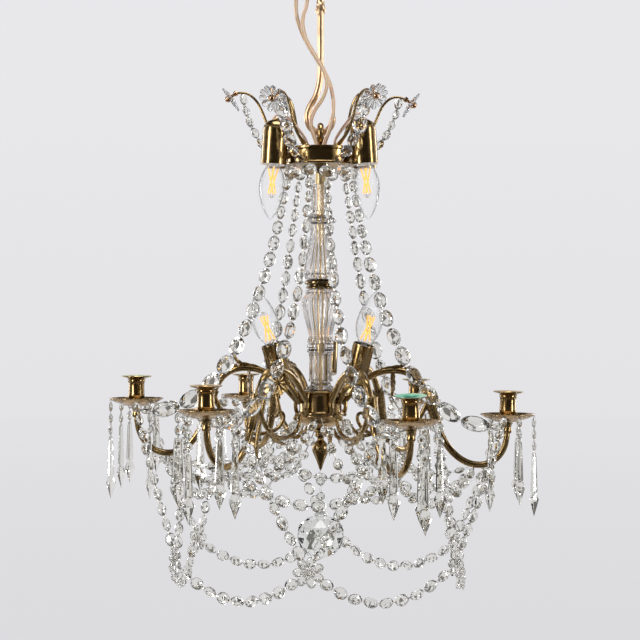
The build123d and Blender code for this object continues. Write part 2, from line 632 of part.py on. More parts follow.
def make_arms():
    leaves, scrolls, bosses, dishes, cups = [], [], [], [], []
    for i in range(ARMS):
        azimuth = arm_azimuth(i)
        route = [(r, lifted(i, r, z)) for r, z in ARM_ROUTE]
        tip_z = lifted(i, ARM_REACH, ARM_TIP_Z)
        route += [(ARM_REACH, tip_z - 22), (ARM_REACH - 0.01, tip_z)]
        node(f"candle_arm_{i + 1}", turned(flat_tube(route, ARM_TUBE_R), azimuth))

        outline = profile([(r, lifted(i, r, z)) for r, z in CREST_LEAF])
        leaf = Pos(0, LEAF_THICK / 2, 0) * extrude(outline, LEAF_THICK)
        calyx_r, calyx_z = CALYX_AT
        run = Vector(ARM_ROUTE[8][0] - ARM_ROUTE[6][0], 0, ARM_ROUTE[8][1] - ARM_ROUTE[6][1])
        place = Plane(origin=(calyx_r, 0, lifted(i, calyx_r, calyx_z)), z_dir=run)
        half = CALYX_LENGTH / 2
        calyx = place.location * lathe([
            (0, half), (ARM_TUBE_R + 0.6, half), (CALYX_R, 0.3 * half), (0.9 * CALYX_R, -0.2 * half),
            (ARM_TUBE_R + 1.6, -0.6 * half), (0.95 * CALYX_R, -half), (0, -half)])
        leaves += [turned(leaf, azimuth), turned(calyx, azimuth)]
        scroll = flat_tube([(r, lifted(i, r, z)) for r, z in ARM_SCROLL_ROUTE], SCROLL_R)
        eye_r, eye_z = ARM_SCROLL_ROUTE[0]
        scrolls.append(turned(scroll + Pos(eye_r, 0, lifted(i, eye_r, eye_z)) * Sphere(1.7 * SCROLL_R), azimuth))
        boss_r, boss_z = BOSS_AT
        boss = daisy(BOSS_R, 8, BOSS_THICK)
        stem_low, stem_high = boss_z + 2, lifted(i, boss_r, -514)
        stem = Pos(boss_r, 0, (stem_low + stem_high) / 2) * Cylinder(2, stem_high - stem_low)
        sides = [Pos(boss_r, side * 7, boss_z) * Rot(90, 0, 0) * boss for side in (-1, 1)]
        bar = Pos(boss_r, 0, boss_z) * Rot(90, 0, 0) * Cylinder(2, 14)
        bosses.append(turned(stem + bar, azimuth))
        bosses += [turned(s, azimuth) for s in sides]

        r, deep, wall = BOBECHE_R, BOBECHE_DEPTH, BOBECHE_WALL
        at = turned(Pos(ARM_REACH, 0, tip_z), azimuth)
        dishes.append(at * lathe([
            (0, 0), (12, 0), (0.6 * r, 3), (0.85 * r, 6.5), (r, deep - 1), (r, deep), (r - 1, deep),
            (0.84 * r, 6.5 + wall), (0.58 * r, 3 + wall), (12, wall), (0, wall)]))
        b, w, h = CUP_BORE_R, CUP_WALL, CUP_HEIGHT
        cups.append(at * Pos(0, 0, wall) * lathe([
            (0, 0), (11.5, 0), (11.5, 1.6), (8.0, 4), (8.5, 7), (b + w, 11), (b + w, h - 5), (b + w + 2, h - 2),
            (CUP_RIM_R, h - 0.8), (CUP_RIM_R, h), (b + 2, h), (b, h - 3), (b, 7 + CUP_FLOOR), (0, 7 + CUP_FLOOR)]))
    node("arm_leaves", leaves)
    node("arm_scrolls", scrolls)
    node("arm_bosses", bosses)
    node("bobeches", dishes)
    node("candle_cups", cups)


def rim_point(i, angle, inset, drop_z):
    """A point on the rim of bobeche i, at an angle from straight out, as seen from above."""
    azimuth = arm_azimuth(i)
    centre = radial(ARM_REACH, azimuth, lifted(i, ARM_REACH, ARM_TIP_Z) + BOBECHE_DEPTH - drop_z)
    a = radians(azimuth + angle)
    reach = BOBECHE_R - inset
    return centre + Vector(reach * sin(a), -reach * cos(a), 0)


def make_prisms():
    fixed = []
    for i in range(ARMS):
        for angle, count in DROP_COUNTS.items():
            wide = (i, angle) in WIDE_DROPS
            if angle == 0:
                node(f"outer_prism_{i + 1}", drop(rim_point(i, angle, RIM_INSET, FREE_DROP_Z), count, wide))
            else:
                fixed += drop(rim_point(i, angle, RIM_INSET, 1.0), count, wide)
    node("prisms", fixed)


def make_strings():
    graduated, long_ones, swags, rosettes, inner, hub = [], [], [], [], [], []
    for i in range(ARMS):
        azimuth = arm_azimuth(i)
        tip_z = lifted(i, ARM_REACH, ARM_TIP_Z)
        aside = GRADUATED_ASIDE[i]
        side_way = radial(1, azimuth + 90, 0)
        start = festoon_foot(2 * i if aside > 0 else 2 * i - 1)
        end = radial(ARM_REACH - ARM_TUBE_R + 1, azimuth, tip_z - 6)
        control = radial(GRADUATED_SLACK[0], azimuth, GRADUATED_SLACK[1] + ARM_LIFT[i]) + side_way * aside
        graduated += strand(start, control, end, GRADUATED_BEADS, GRADUATED_WIDTHS, 15, side_way)

        mid = azimuth + 180 / ARMS
        seat = radial(ROSETTE_RING_R, mid, ROSETTE_Z)
        for side, arm in ((-1, i), (1, (i + 1) % ARMS)):
            top = rim_point(arm, -97 * side, RIM_INSET, 1.0)
            reach = seat + Vector(0, 0, ROSETTE_R + 3) + radial(6, mid + 90 * side, 0)
            long_ones += strand(top, hanging(top, reach, 9), reach, LONG_STRING_BEADS, SWAG_WIDTH)
        face = radial(1, mid, 0)
        side_way = radial(1, mid + 90, 0)
        rosettes.append(Plane(origin=seat, x_dir=side_way, z_dir=face).location * daisy(ROSETTE_R - 1, 8, 6.0))
        for k in range(ROSETTE_PETALS):
            a = 2 * pi * (k + 0.5) / ROSETTE_PETALS
            out = side_way * cos(a) + Vector(0, 0, sin(a))
            centre = seat + out * (ROSETTE_R + 3)
            rosettes.append(set_bead(bead(ROSETTE_BEAD, 11.0), centre, out, face, 0))
        after = radial(ROSETTE_RING_R, mid + 360 / ARMS, ROSETTE_Z)
        from_here = seat - Vector(0, 0, 8) + radial(12, mid + 90, 0)
        to_there = after - Vector(0, 0, 8) - radial(12, mid + 360 / ARMS + 90, 0)
        swags += strand(from_here, hanging(from_here, to_there, SWAG_SAG), to_there,
                        [SWAG_BEAD] * SWAG_BEADS, SWAG_WIDTH)

        at_r, at_z = INNER_SWAG_AT
        nxt = (i + 1) % ARMS
        one = radial(at_r, azimuth, lifted(i, at_r, at_z) - ARM_TUBE_R + 0.8)
        two = radial(at_r, azimuth + 360 / ARMS, lifted(nxt, at_r, at_z) - ARM_TUBE_R + 0.8)
        inner += strand(one, hanging(one, two, INNER_SWAG_SAG), two, [14] + [17.5] * (INNER_SWAG_BEADS - 2) + [14], SWAG_WIDTH)
        hub_low = HUB_TOP_Z - HUB_HEIGHT
        for turn, foot_r, foot_z, sag in HUB_STRINGS:
            begin = radial(SAUCER_R - 0.8, azimuth + turn, hub_low - 3)
            finish = radial(foot_r, azimuth, lifted(i, foot_r, foot_z) - ARM_TUBE_R + 0.8)
            hub += strand(begin, hanging(begin, finish, sag), finish, [15.5] * (HUB_STRING_BEADS - 1) + [12], SWAG_WIDTH)
    node("graduated_strings", graduated)
    node("long_strings", long_ones)
    node("swags", swags)
    node("swag_rosettes", rosettes)
    node("inner_swags", inner)
    node("hub_strings", hub)


def make_ball():
    finial_low = HUB_TOP_Z - HUB_HEIGHT - SAUCER_DEPTH - FINIAL_LENGTH
    solids = []
    levels = [-90, -66, -42, -18, 6, 30, 54, 90]
    rings = []
    for latitude in levels:
        a = radians(latitude)
        if abs(latitude) == 90:
            rings.append([Vector(0, 0, BALL_R * 0.96 * sin(a))])
        else:
            rings.append(polygon_ring(12, BALL_R * cos(a), BALL_R * cos(a), BALL_R * sin(a)))
    solids.append(Pos(0, 0, BALL_Z) * stacked(rings))
    cone_low = BALL_Z + 0.9 * BALL_R
    solids.append(lathe([(0, cone_low), (8, cone_low), (6, cone_low + 5), (3, cone_low + BALL_CONE), (0, cone_low + BALL_CONE)]))
    first, last = finial_low - RUNNING_GAP, cone_low + BALL_CONE
    count = 2
    gap = (first - last - count * BALL_BEAD) / (count + 1)
    z = first
    for _ in range(count):
        solids.append(pin(Vector(0, 0, z), Vector(0, 0, z - gap - PIN_SUNK)))
        z -= gap
        solids.append(set_bead(bead(BALL_BEAD, BALL_BEAD), Vector(0, 0, z - BALL_BEAD / 2), Vector(0, 0, -1),
                               Vector(0, -1, 0), 0))
        z -= BALL_BEAD
    solids.append(pin(Vector(0, 0, z + PIN_SUNK), Vector(0, 0, last - 1)))
    node("crystal_ball", solids)


def make_leads():
    for name, points in (("left", LEAD_LEFT), ("right", LEAD_RIGHT)):
        solid, path = tube(points, LEAD_R)
        radii = bend_radii([Vector(*p) for p in points])
        print("lead", name, "length", round(path.length, 1), "radii", [round(r, 1) for r in radii],
              "volume share", round(solid.volume / (pi * LEAD_R**2 * path.length), 4))
        node(f"supply_lead_{name}", solid)
    wide, deep, tall = CONNECTOR
    x, y = CONNECTOR_AT
    block = Pos(x + 4, y, LEAD_LEFT[0][2] + tall / 2) * Box(wide, deep, tall)
    node("lead_connector", chamfer(block.edges().filter_by(Axis.Z), 2))


def main():
    make_hook()
    make_crown()
    make_branches()
    make_crown_strings()
    make_sockets()
    make_column()
    make_hub()
    make_arms()
    make_prisms()
    make_strings()
    make_ball()
    make_leads()
    os.makedirs("parts", exist_ok=True)
    for name, solids in NODES.items():
        export_step(Compound(children=solids) if len(solids) > 1 else solids[0], f"parts/{name}.step")
    print(len(NODES), "nodes", sum(len(s) for s in NODES.values()), "solids")


main()
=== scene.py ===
"""Crystal chandelier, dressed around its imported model.

Metres, +Z up, the origin in the eye of the hanging rod. Azimuth 0 faces the front (-Y) and grows towards +X.
Strings, drops and rosettes are read from the model's solids, so each cut bead lies where its solid does.
Routes and the outlines of turned pieces are in millimetres, as radius and height, and so are the sizes that
go with them. The leads' routes are in millimetres too, as x, y and z. The settings, the camera, the lights
and what the frame says are in metres.
"""

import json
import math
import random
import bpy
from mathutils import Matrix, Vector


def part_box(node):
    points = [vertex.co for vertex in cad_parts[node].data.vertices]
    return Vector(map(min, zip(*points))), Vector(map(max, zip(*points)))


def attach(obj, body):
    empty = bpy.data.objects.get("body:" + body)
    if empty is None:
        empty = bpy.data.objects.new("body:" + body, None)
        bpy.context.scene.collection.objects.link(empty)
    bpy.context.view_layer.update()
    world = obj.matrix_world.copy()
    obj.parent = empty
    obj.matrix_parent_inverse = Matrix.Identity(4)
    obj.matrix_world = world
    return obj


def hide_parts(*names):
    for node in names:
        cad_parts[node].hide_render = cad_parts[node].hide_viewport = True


bl_info = {
    "name": "Crystal Chandelier",
    "version": (1, 0, 0),
    "blender": (4, 5, 0),
    "location": "View3D > Sidebar > Chandelier",
    "description": "Dresses the packed chandelier with turned brass, fluted glass, cut beads and lamps",
    "category": "Object",
}

import bpy
import numpy as np
from mathutils import Vector

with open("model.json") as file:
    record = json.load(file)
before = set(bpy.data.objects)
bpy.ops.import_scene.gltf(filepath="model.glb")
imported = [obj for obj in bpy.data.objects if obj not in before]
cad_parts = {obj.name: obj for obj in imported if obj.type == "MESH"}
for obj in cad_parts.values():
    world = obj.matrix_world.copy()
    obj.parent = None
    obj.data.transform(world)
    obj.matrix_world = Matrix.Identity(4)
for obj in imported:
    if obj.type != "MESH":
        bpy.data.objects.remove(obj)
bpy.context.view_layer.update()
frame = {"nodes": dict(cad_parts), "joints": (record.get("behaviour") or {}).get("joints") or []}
NODES = frame["nodes"]
JOINTS = {j["name"]: j for j in frame["joints"]}
MM = 0.001
AXIS = 0.01          # an outline that ends at this radius is closed by a small flat
POLE = 0.001         # one that ends at this radius is left as a point
UP = Vector((0, 0, 1))

# The view: level with the middle of the column.
LENS = 95.6
CAMERA_AT = (-0.0007, -2.278, -0.449)
LIGHTS_FACE = Vector((0, 0, -0.45))
FLOOR_Z = -2.3

# The leads run from the crown to the block that joins them.
LEAD_SIDES = 24
LEADS = {
    "left": [
        (4.6, -12.6, -218.4), (5.8, -13, -211), (9.4, -14, -203), (14, -14, -190), (17.5, -14.5, -172),
        (17, -16, -152), (12, -19, -132), (1, -22, -112), (-15, -25, -88), (-28, -28, -62), (-34, -31, -37),
        (-31, -34, -16)],
    "right": [
        (-4.6, -12.6, -218.4), (-5.9, -13, -211), (-9.6, -14.2, -202), (-14, -16, -187), (-9, -19, -171),
        (3, -23, -156), (9.5, -26.5, -137), (5, -29, -118), (-8, -31, -98), (-21, -32, -76), (-25, -33, -52),
        (-17, -33.5, -32), (-17, -34, -16)],
}

# The crown's branches, each bent up or down and sideways.
BRANCH_AZIMUTHS = (-94.0, -30.0, 35.0, 87.0, 149.0, -153.0)
BRANCH_LIFTS = (0.0, -14.0, -10.0, -10.0, 12.0, 8.0)
BRANCH = [(38, -217.6), (50, -211.4), (63, -200.4), (72, -186.4), (78, -170.4), (84, -157.4), (93, -147.4),
          (105, -142.4), (114, -144.4)]
BRANCH_REACH = 76

# The arms and what they carry, six times round the axis.
ARMS = 6
FIRST_AZIMUTH = -94.0
ARM_STEP = 60
ARM_REACH = 249.2
ARM_TIP_Z = -575.0
ARM = [(29, -561), (43, -545), (60, -527), (82, -516), (107, -514), (128, -522), (142, -541), (151, -568),
       (160, -597), (175, -621), (197, -635), (222, -635), (241, -620), (ARM_REACH, -597),
       (ARM_REACH, ARM_TIP_Z)]
CALYX = [(145, -546), (151, -568), (158, -590)]
SCROLL = [(143, -556), (134, -577), (118, -594), (97, -603), (74, -603), (57, -596), (49, -583), (50, -574),
          (57, -572), (59, -578)]
ARM_LEAVES = [         # route, half width and lobes
    ([(78, -516.5), (88, -513), (98, -511.5), (107, -510.5), (113.5, -506), (117, -499), (116, -492)],
     4.4, 4),
    ([(135, -524), (128, -517), (120, -512.5), (112, -511)], 3.6, 2)]
SCROLL_LEAVES = [
    ([(122, -589), (108, -602), (92, -609), (80, -612)], 3.5, 3),
    ([(68, -602), (58, -604), (48, -600), (42, -592)], 3.2, 2)]

# How each candle cup leans, in degrees to the right and forwards, and which of them has a green rim.
CUP_LEANS = ((0.5, 1.0), (-0.5, 2.0), (-1.0, 6.0), (1.5, 1.0), (0.5, 0.5), (-0.5, 0.5))
GREEN_CUP = 2

# The brackets of the lower lamp tubes.
BRACKET_AZIMUTHS = (-66.0, 54.0, 172.0)
TUBE_LEAN = math.radians(17)
BRACKET = [(29, -560), (37, -545), (47, -533), (60, -528), (72, -535), (80, -550), (84, -568), (86, -584)]
BRACKET_LEAF = [(84, -566), (87, -586), (91, -606), (92.5, -622), (90, -638)]

# The column. Outlines are shares of the radius and height, and flutes take a share of the flute depth.
COLUMN_BORE, HUB_BORE = 6.4, 6.2
COLLAR = [(0.70, 0), (0.92, 0), (0.95, 0.16), (0.84, 0.30), (0.84, 0.40), (1, 0.50), (1, 0.78), (0.90, 0.86),
          (0.84, 1), (0.5, 1)]
COLUMN_GLASS = {       # flutes, share of their depth, steps of a rounded corner, outline
    "column_tube_glass": (16, 1, 5, [
        (0.80, 0), (0.97, 0.02), (1.0, 0.08), (0.93, 0.14), (0.93, 0.5), (0.93, 0.86), (1.0, 0.92),
        (0.97, 0.98), (0.8, 1)]),
    "column_collar_glass": (24, 0.6, 5, [
        (0.55, 0), (0.70, 0.02), (0.93, 0.12), (1.0, 0.34), (0.98, 0.56), (0.84, 0.72), (0.74, 0.80),
        (0.72, 0.98), (0.6, 1)]),
    "column_bell_glass": (26, 0.85, 5, [
        (0.55, 0), (0.86, 0.0), (0.98, 0.03), (1.0, 0.07), (0.93, 0.105), (0.88, 0.13), (0.97, 0.18),
        (0.95, 0.26), (0.84, 0.38), (0.72, 0.52), (0.64, 0.66), (0.58, 0.80), (0.56, 0.90), (0.60, 0.95),
        (0.57, 1.0), (0.45, 1.0)]),
    "column_baluster_glass": (28, 0.75, 5, [
        (0.5, 0), (0.66, 0), (0.70, 0.03), (0.66, 0.07), (0.62, 0.12), (0.66, 0.22), (0.76, 0.36),
        (0.90, 0.52), (1.0, 0.68), (0.99, 0.80), (0.86, 0.875), (0.76, 0.90), (0.82, 0.94), (0.80, 0.99),
        (0.55, 1.0)]),
    "column_rings_glass": (0, 0, 4, [
        (0.84, 0), (0.95, 0.04), (1.0, 0.16), (0.98, 0.30), (0.91, 0.40), (0.91, 0.50), (0.97, 0.62),
        (0.97, 0.80), (0.92, 0.95), (0.84, 1)]),
    "column_cylinder_glass": (18, 1, 5, [
        (0.8, 0), (0.97, 0.02), (1.0, 0.06), (0.94, 0.10), (0.93, 0.5), (0.94, 0.90), (1.0, 0.94),
        (0.97, 0.98), (0.8, 1)]),
    "column_base_cup": (18, 0.5, 5, [
        (0.62, 0), (0.80, 0.0), (0.93, 0.10), (0.96, 0.26), (0.90, 0.42), (0.74, 0.52), (0.68, 0.62),
        (0.67, 0.95), (0.55, 1.0)]),
}

# A finial and a spear drop, as shares of their radius and length.
FINIAL = [(0, 0), (0.45, 0), (0.72, -0.02), (0.74, -0.07), (0.58, -0.11), (0.70, -0.14), (0.68, -0.18),
          (0.38, -0.22), (0.40, -0.27), (0.72, -0.34), (0.99, -0.42), (1.02, -0.48), (0.92, -0.57),
          (0.66, -0.68), (0.42, -0.80), (0.24, -0.91), (0.13, -0.985), (0, -1.0)]
SPEAR = [(0.36, 1.0), (0.48, 0.90), (0.52, 0.76), (0.72, -0.19), (0.70, -0.22), (0.46, -0.25), (0.46, -0.27),
         (0.68, -0.32), (1.0, -0.46), (0.97, -0.50)]

# A lamp's glass and stem, and how far its cap reaches below them.
LAMP = [(7.4, 0), (8, 4), (12.8, 11), (16.3, 21), (17.7, 30), (16.8, 41), (13.6, 54), (8.6, 66), (3.4, 73.5),
        (0.6, 76), (AXIS, 76)]
LAMP_STEM = [(AXIS, -1), (5.8, -1), (4.6, 1.5), (1.6, 4), (1.3, 44), (AXIS, 47.5)]
LAMP_CAP = 24

# A candle cup from its foot to its rim.
CUP_TALL = 39.5
CUP_BORE = 9.3
CUP = [(AXIS, 0), (12.8, 0), (13.2, 1), (12.8, 2.2), (9.4, 3.2), (8, 5.6), (8.6, 8), (10.4, 10), (11.2, 13),
       (10.8, 17), (10.5, 25), (10.6, 30), (11.4, 31.8), (11.8, 33), (11.2, 34.2), (12.6, 36.2), (19, 37.8),
       (20, 38.4), (20.2, 39), (19.7, CUP_TALL)]
CUP_RIM = [(19.7, 0.04), (15, -0.24), (11.2, -0.7), (9.8, -2.4), (9.7, -2.6), (11.2, -0.9), (15, -0.5),
           (19.7, -0.2)]

# The bead strings: how many times as wide as its solid a bead is drawn, and how many metres longer.
STRINGS = {
    "crown_strings": (1.16, 0.0013), "crown_festoon": (1.04, 0.0013), "graduated_strings": (1.04, 0.0018),
    "long_strings": (1.04, 0.0013), "swags": (1.04, 0.0013), "inner_swags": (1.04, 0.0013),
    "hub_strings": (1.04, 0.0013)}

# Solids are told apart by their corners: a link has no more than the first number. Beads have fewer than the
# second, octagons of the drops fewer than the third, and the beads above the ball have just the fourth.
LINK_CORNERS = 8
BEAD_CORNERS = 40
OCTAGON_CORNERS = 35
BALL_BEAD_CORNERS = 32

# The soft boxes: name, place, watts, width and height.
SOFT_BOXES = [
    ("Key strip", (-1.95, -1.42, 0.10), 34, 0.42, 1.7),
    ("Right strip", (2.05, -1.05, -0.15), 20, 0.26, 1.6),
    ("Top", (0.1, -0.3, 1.35), 20, 1.2, 0.9),
    ("Rim left", (-1.7, 1.5, -0.2), 12, 0.30, 1.3),
    ("Rim right", (1.7, 1.5, -0.2), 12, 0.30, 1.3)]

# Upright cards round the set: the azimuth of the middle and half the width, both in degrees.
CARD_RADIUS, DISC_RADIUS = 3.6, 3.3
DARK_CARDS = [(0, 98), (-139, 17), (139, 17)]
GREY_CARDS = [(-17, 6), (17, 6), (-72, 7), (72, 7), (-107, 6), (107, 6), (-163, 5), (163, 5)]


# ---------------------------------------------------------------- settings
class ChandelierSizes(bpy.types.PropertyGroup):
    wire_radius: bpy.props.FloatProperty(
        name="Link wire", description="Radius of the wire that joins two beads", default=0.00042,
        unit="LENGTH")
    link_width: bpy.props.FloatProperty(
        name="Link width", description="Width of a bent wire link", default=0.0023, unit="LENGTH")
    lead_width: bpy.props.FloatProperty(
        name="Lead width", description="Width of the flat supply leads", default=0.0056, unit="LENGTH")
    lead_thickness: bpy.props.FloatProperty(
        name="Lead thickness", description="Thickness of the flat supply leads", default=0.0030,
        unit="LENGTH")
    glass_wall: bpy.props.FloatProperty(
        name="Lamp glass", description="Wall of a lamp's glass", default=0.0007, unit="LENGTH")
    flute_depth: bpy.props.FloatProperty(
        name="Flute depth", description="Depth of the deepest flutes as a share of the glass's radius",
        default=0.10, subtype="FACTOR")
    petals: bpy.props.IntProperty(
        name="Petals", description="Petals of a glass rosette at the crown", default=11, subtype="UNSIGNED")


class ChandelierColours(bpy.types.PropertyGroup):
    brass: bpy.props.FloatVectorProperty(
        name="Brass", description="Rubbed antique brass", subtype="COLOR", size=3,
        default=(0.36, 0.234, 0.088))
    patina: bpy.props.FloatVectorProperty(
        name="Patina", description="Dark lacquer in the hollows", subtype="COLOR", size=3,
        default=(0.085, 0.05, 0.018))
    copper: bpy.props.FloatVectorProperty(
        name="Rod", description="Polished coppery rod", subtype="COLOR", size=3,
        default=(0.98, 0.66, 0.39))
    brown: bpy.props.FloatVectorProperty(
        name="Brown brass", description="Satin dishes and saucer", subtype="COLOR", size=3,
        default=(0.46, 0.30, 0.135))
    verdigris: bpy.props.FloatVectorProperty(
        name="Green patina", description="Stain on the cups' rims", subtype="COLOR", size=3,
        default=(0.10, 0.50, 0.33))
    filament: bpy.props.FloatVectorProperty(
        name="Filament", description="Coating of the filaments", subtype="COLOR", size=3,
        default=(1.0, 0.46, 0.09))
    backdrop: bpy.props.FloatVectorProperty(
        name="Backdrop", description="Pale grey of the backdrop", subtype="COLOR", size=3,
        default=(0.795, 0.792, 0.815))


def sizes():
    return bpy.context.scene.chandelier_sizes


def colours():
    return bpy.context.scene.chandelier_colours


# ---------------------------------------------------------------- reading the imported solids
def polar(radius, azimuth, z):
    """A point in metres from a radius and a height in millimetres."""
    a = math.radians(azimuth)
    return Vector((radius * math.sin(a) * MM, -radius * math.cos(a) * MM, z * MM))


def solids_of(node):
    """The corners of each separate solid of a node, one array for each."""
    mesh = NODES[node].data
    co = np.empty(len(mesh.vertices) * 3, np.float32)
    mesh.vertices.foreach_get("co", co)
    ends = np.empty(len(mesh.edges) * 2, np.int32)
    mesh.edges.foreach_get("vertices", ends)
    places, same = np.unique(np.round(co.reshape(-1, 3), 6), axis=0, return_inverse=True)
    a, b = same.reshape(-1)[ends.reshape(-1, 2)].T
    label = np.arange(len(places))
    while True:
        low = np.minimum(label[a], label[b])
        new = label.copy()
        np.minimum.at(new, a, low)
        np.minimum.at(new, b, low)
        new = new[new]
        if (new == label).all():
            break
        label = new
    return [places[label == k].astype(float) for k in np.unique(label)]


def low_end(points, axis):
    """Where a solid begins along an axis through its middle."""
    middle = points.mean(0)
    return Vector(middle + axis * ((points @ axis).min() - middle @ axis))


class Seat:
    """Where a solid lies: its middle, its three axes from longest to thinnest, and its three sizes."""

    def __init__(self, points):
        middle = points.mean(0)
        _, vectors = np.linalg.eigh(np.cov((points - middle).T))
        axes = [vectors[:, k] for k in (2, 1, 0)]
        spans = [(points @ v).max() - (points @ v).min() for v in axes]
        if abs(spans[0] - spans[1]) < 0.03 * spans[0]:
            upright = np.array([0.0, 0.0, 1.0])
            upright -= axes[2] * (upright @ axes[2])
            if np.linalg.norm(upright) > 0.2:
                axes[0] = upright / np.linalg.norm(upright)
                axes[1] = np.cross(axes[2], axes[0])
                spans = [(points @ v).max() - (points @ v).min() for v in axes]
        mids = [((points @ v).max() + (points @ v).min()) / 2 for v in axes]
        self.middle = sum(m * v for m, v in zip(mids, axes))
        self.axes, self.spans, self.corners = axes, spans, len(points)
        self.points = points

    def ends(self):
        """An upright solid's low end, high end and direction."""
        axis = self.axes[0] if abs(self.axes[0][2]) > 0.7 else max(self.axes, key=lambda v: abs(v[2]))
        axis = axis if axis[2] > 0 else -axis
        return low_end(self.points, axis), low_end(self.points, -axis), Vector(axis)

    def downward(self, k):
        """One of the axes, in the sense that points down."""
        out = Vector(self.axes[k])
        return -out if out.z > 0 else out

    def outward(self):
        """The thin axis, away from the chandelier's own."""
        out = Vector(self.axes[2])
        return out if out.dot(Vector(self.middle)) > 0 else -out


def seats(node):
    return [Seat(p) for p in solids_of(node)]


def dish_seats():
    """The end of each arm, found from the dishes: azimuth and height in millimetres."""
    found = {}
    for p in solids_of("bobeches"):
        middle = (p.max(0) + p.min(0)) / 2
        azimuth = math.degrees(math.atan2(middle[0], -middle[1]))
        number = round((azimuth - FIRST_AZIMUTH) / ARM_STEP) % ARMS
        found[number] = (FIRST_AZIMUTH + ARM_STEP * number, p[:, 2].min() / MM)
    return [found[i] for i in range(ARMS)]


def box(node):
    """A node's outer radius, foot and top in millimetres."""
    low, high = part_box(node)
    return high.x / MM, low.z / MM, high.z / MM


# ---------------------------------------------------------------- mesh building
def around(count, first=0.0):
    """Angles spread evenly round a turn."""
    return [2 * math.pi * (k + first) / count for k in range(count)]


def spot(radius, turn, z):
    """A point about a piece's own axis, in metres from millimetres."""
    return np.array([radius * math.cos(turn), radius * math.sin(turn), z]) * MM


def band(a, b, sides, inward=False):
    """The faces between two rings of corners, given the number of each ring's first corner."""
    pairs = [(k, (k + 1) % sides) for k in range(sides)]
    return [(a + k, b + k, b + n, a + n) if inward else (a + k, a + n, b + n, b + k) for k, n in pairs]


def bands(rows, sides, closed=False, inward=False, start=0):
    """The faces between rings of corners that follow each other."""
    faces = []
    for j in range(rows if closed else rows - 1):
        faces += band(start + j * sides, start + (j + 1) % rows * sides, sides, inward)
    return faces


def lids(rows, sides):
    """The faces that close the first and the last ring."""
    return [tuple(reversed(range(sides))), tuple(range((rows - 1) * sides, rows * sides))]


def join(forms):
    """Several (corners, faces) as one."""
    corners, faces, start = [], [], 0
    for c, f in forms:
        corners.append(np.asarray(c, float).reshape(-1, 3))
        faces += [tuple(i + start for i in face) for face in f]
        start += len(c)
    return np.concatenate(corners), faces


def moved(form, origin, up=UP):
    """A form drawn about +Z, carried to an origin with +Z along up."""
    corners, faces = form
    up = Vector(up).normalized()
    x = up.orthogonal().normalized()
    return np.asarray(corners) @ np.array([x, up.cross(x), up]) + np.array(origin), faces


def mesh_of(name, form, finish):
    corners, faces = form
    mesh = bpy.data.meshes.new(name)
    mesh.from_pydata([tuple(c) for c in np.asarray(corners, float)], [], faces)
    mesh.validate()
    mesh.update()
    mesh.materials.append(finish)
    return mesh


def shown(name, data, at=(0, 0, 0)):
    """An object of the scene that holds a mesh, a light or a camera."""
    obj = bpy.data.objects.new(name, data)
    obj.location = at
    bpy.context.scene.collection.objects.link(obj)
    return obj


def piece(name, form, finish, node=None, crease=None, body="chandelier"):
    """Adds a mesh to the scene in place of a node, gives it its finish and lets it ride on its body."""
    mesh = mesh_of(name, form, finish)
    obj = shown(name, mesh)
    if crease is not None:
        mesh.shade_smooth()
        mesh.set_sharp_from_angle(angle=math.radians(crease))
        obj.modifiers.new("Fair", "WEIGHTED_NORMAL").keep_sharp = True
    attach(obj, body)
    if node:
        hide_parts(node)
    return obj


def rounded(points, steps=6):
    """A line that rounds each corner between the middles of the runs beside it."""
    pts = [np.array(p, float) for p in points]
    last = len(pts) - 2
    out = []
    for i in range(1, last + 1):
        a, b, c = pts[i - 1:i + 2]
        start = a if i == 1 else (a + b) / 2
        end = c if i == last else (b + c) / 2
        for k in range(steps + (i == last)):
            t = k / steps
            out.append(start * (1 - t) ** 2 + 2 * b * t * (1 - t) + end * t * t)
    return out


def lathed(outline, sides=64, flutes=0, depth=0.0, share=None, loop=False):
    """A turned form. Flutes cut grooves into the radius, as deep as share(j, count) allows."""
    rows = len(outline)
    corners = []
    for j, (r, z) in enumerate(outline):
        cut = depth * (share(j, rows) if share else 1) if flutes else 0
        for a in around(sides):
            here = r * (1 - cut * (1 - abs(math.sin(flutes * a / 2)) ** 0.8)) if cut else r
            corners.append((here * math.cos(a), here * math.sin(a), z))
    faces = bands(rows, sides, loop)
    if not loop:
        faces += [lid for lid, end in zip(lids(rows, sides), (outline[0], outline[-1])) if end[0] > POLE]
    return np.array(corners) * MM, faces


def turned(outline, at, up=UP, sides=28, steps=0, **cut):
    """A turned form, set at a place along a direction. Steps round its corners."""
    return moved(lathed(rounded(outline, steps) if steps else outline, sides, **cut), at, up)


def ball(radius, rings=10, sides=18):
    """A turned ball, its radius in millimetres."""
    angles = [math.pi * (k / rings - 0.5) for k in range(rings + 1)]
    return lathed([(max(radius * math.cos(a), POLE), radius * math.sin(a)) for a in angles], sides)


def swept(points, radii, sides=14, flat=1.0, face=None, outline=None):
    """A bar along a line of points, with a radius for each. Its section is round or an outline of pairs."""
    pts = [Vector(p) for p in points]
    if not hasattr(radii, "__len__"):
        radii = [radii] * len(pts)
    if outline is None:
        outline = [(math.cos(a), flat * math.sin(a)) for a in around(sides)]
    corners, side = [], None
    for i, p in enumerate(pts):
        along = (pts[min(i + 1, len(pts) - 1)] - pts[max(i - 1, 0)]).normalized()
        if side is None:
            side = Vector(face) if face is not None else along.orthogonal()
        side = (side - along * side.dot(along)).normalized()
        other = along.cross(side)
        corners += [p + (side * x + other * y) * radii[i] for x, y in outline]
    rows, sides = len(pts), len(outline)
    return np.array(corners), bands(rows, sides) + lids(rows, sides)


def side_route(route, azimuth, lift=0.0):
    """A side view's points, in place at an azimuth and bent up by an arm's lift."""
    return [polar(r, azimuth, z + lift * (r / ARM_REACH) ** 2) for r, z in route]


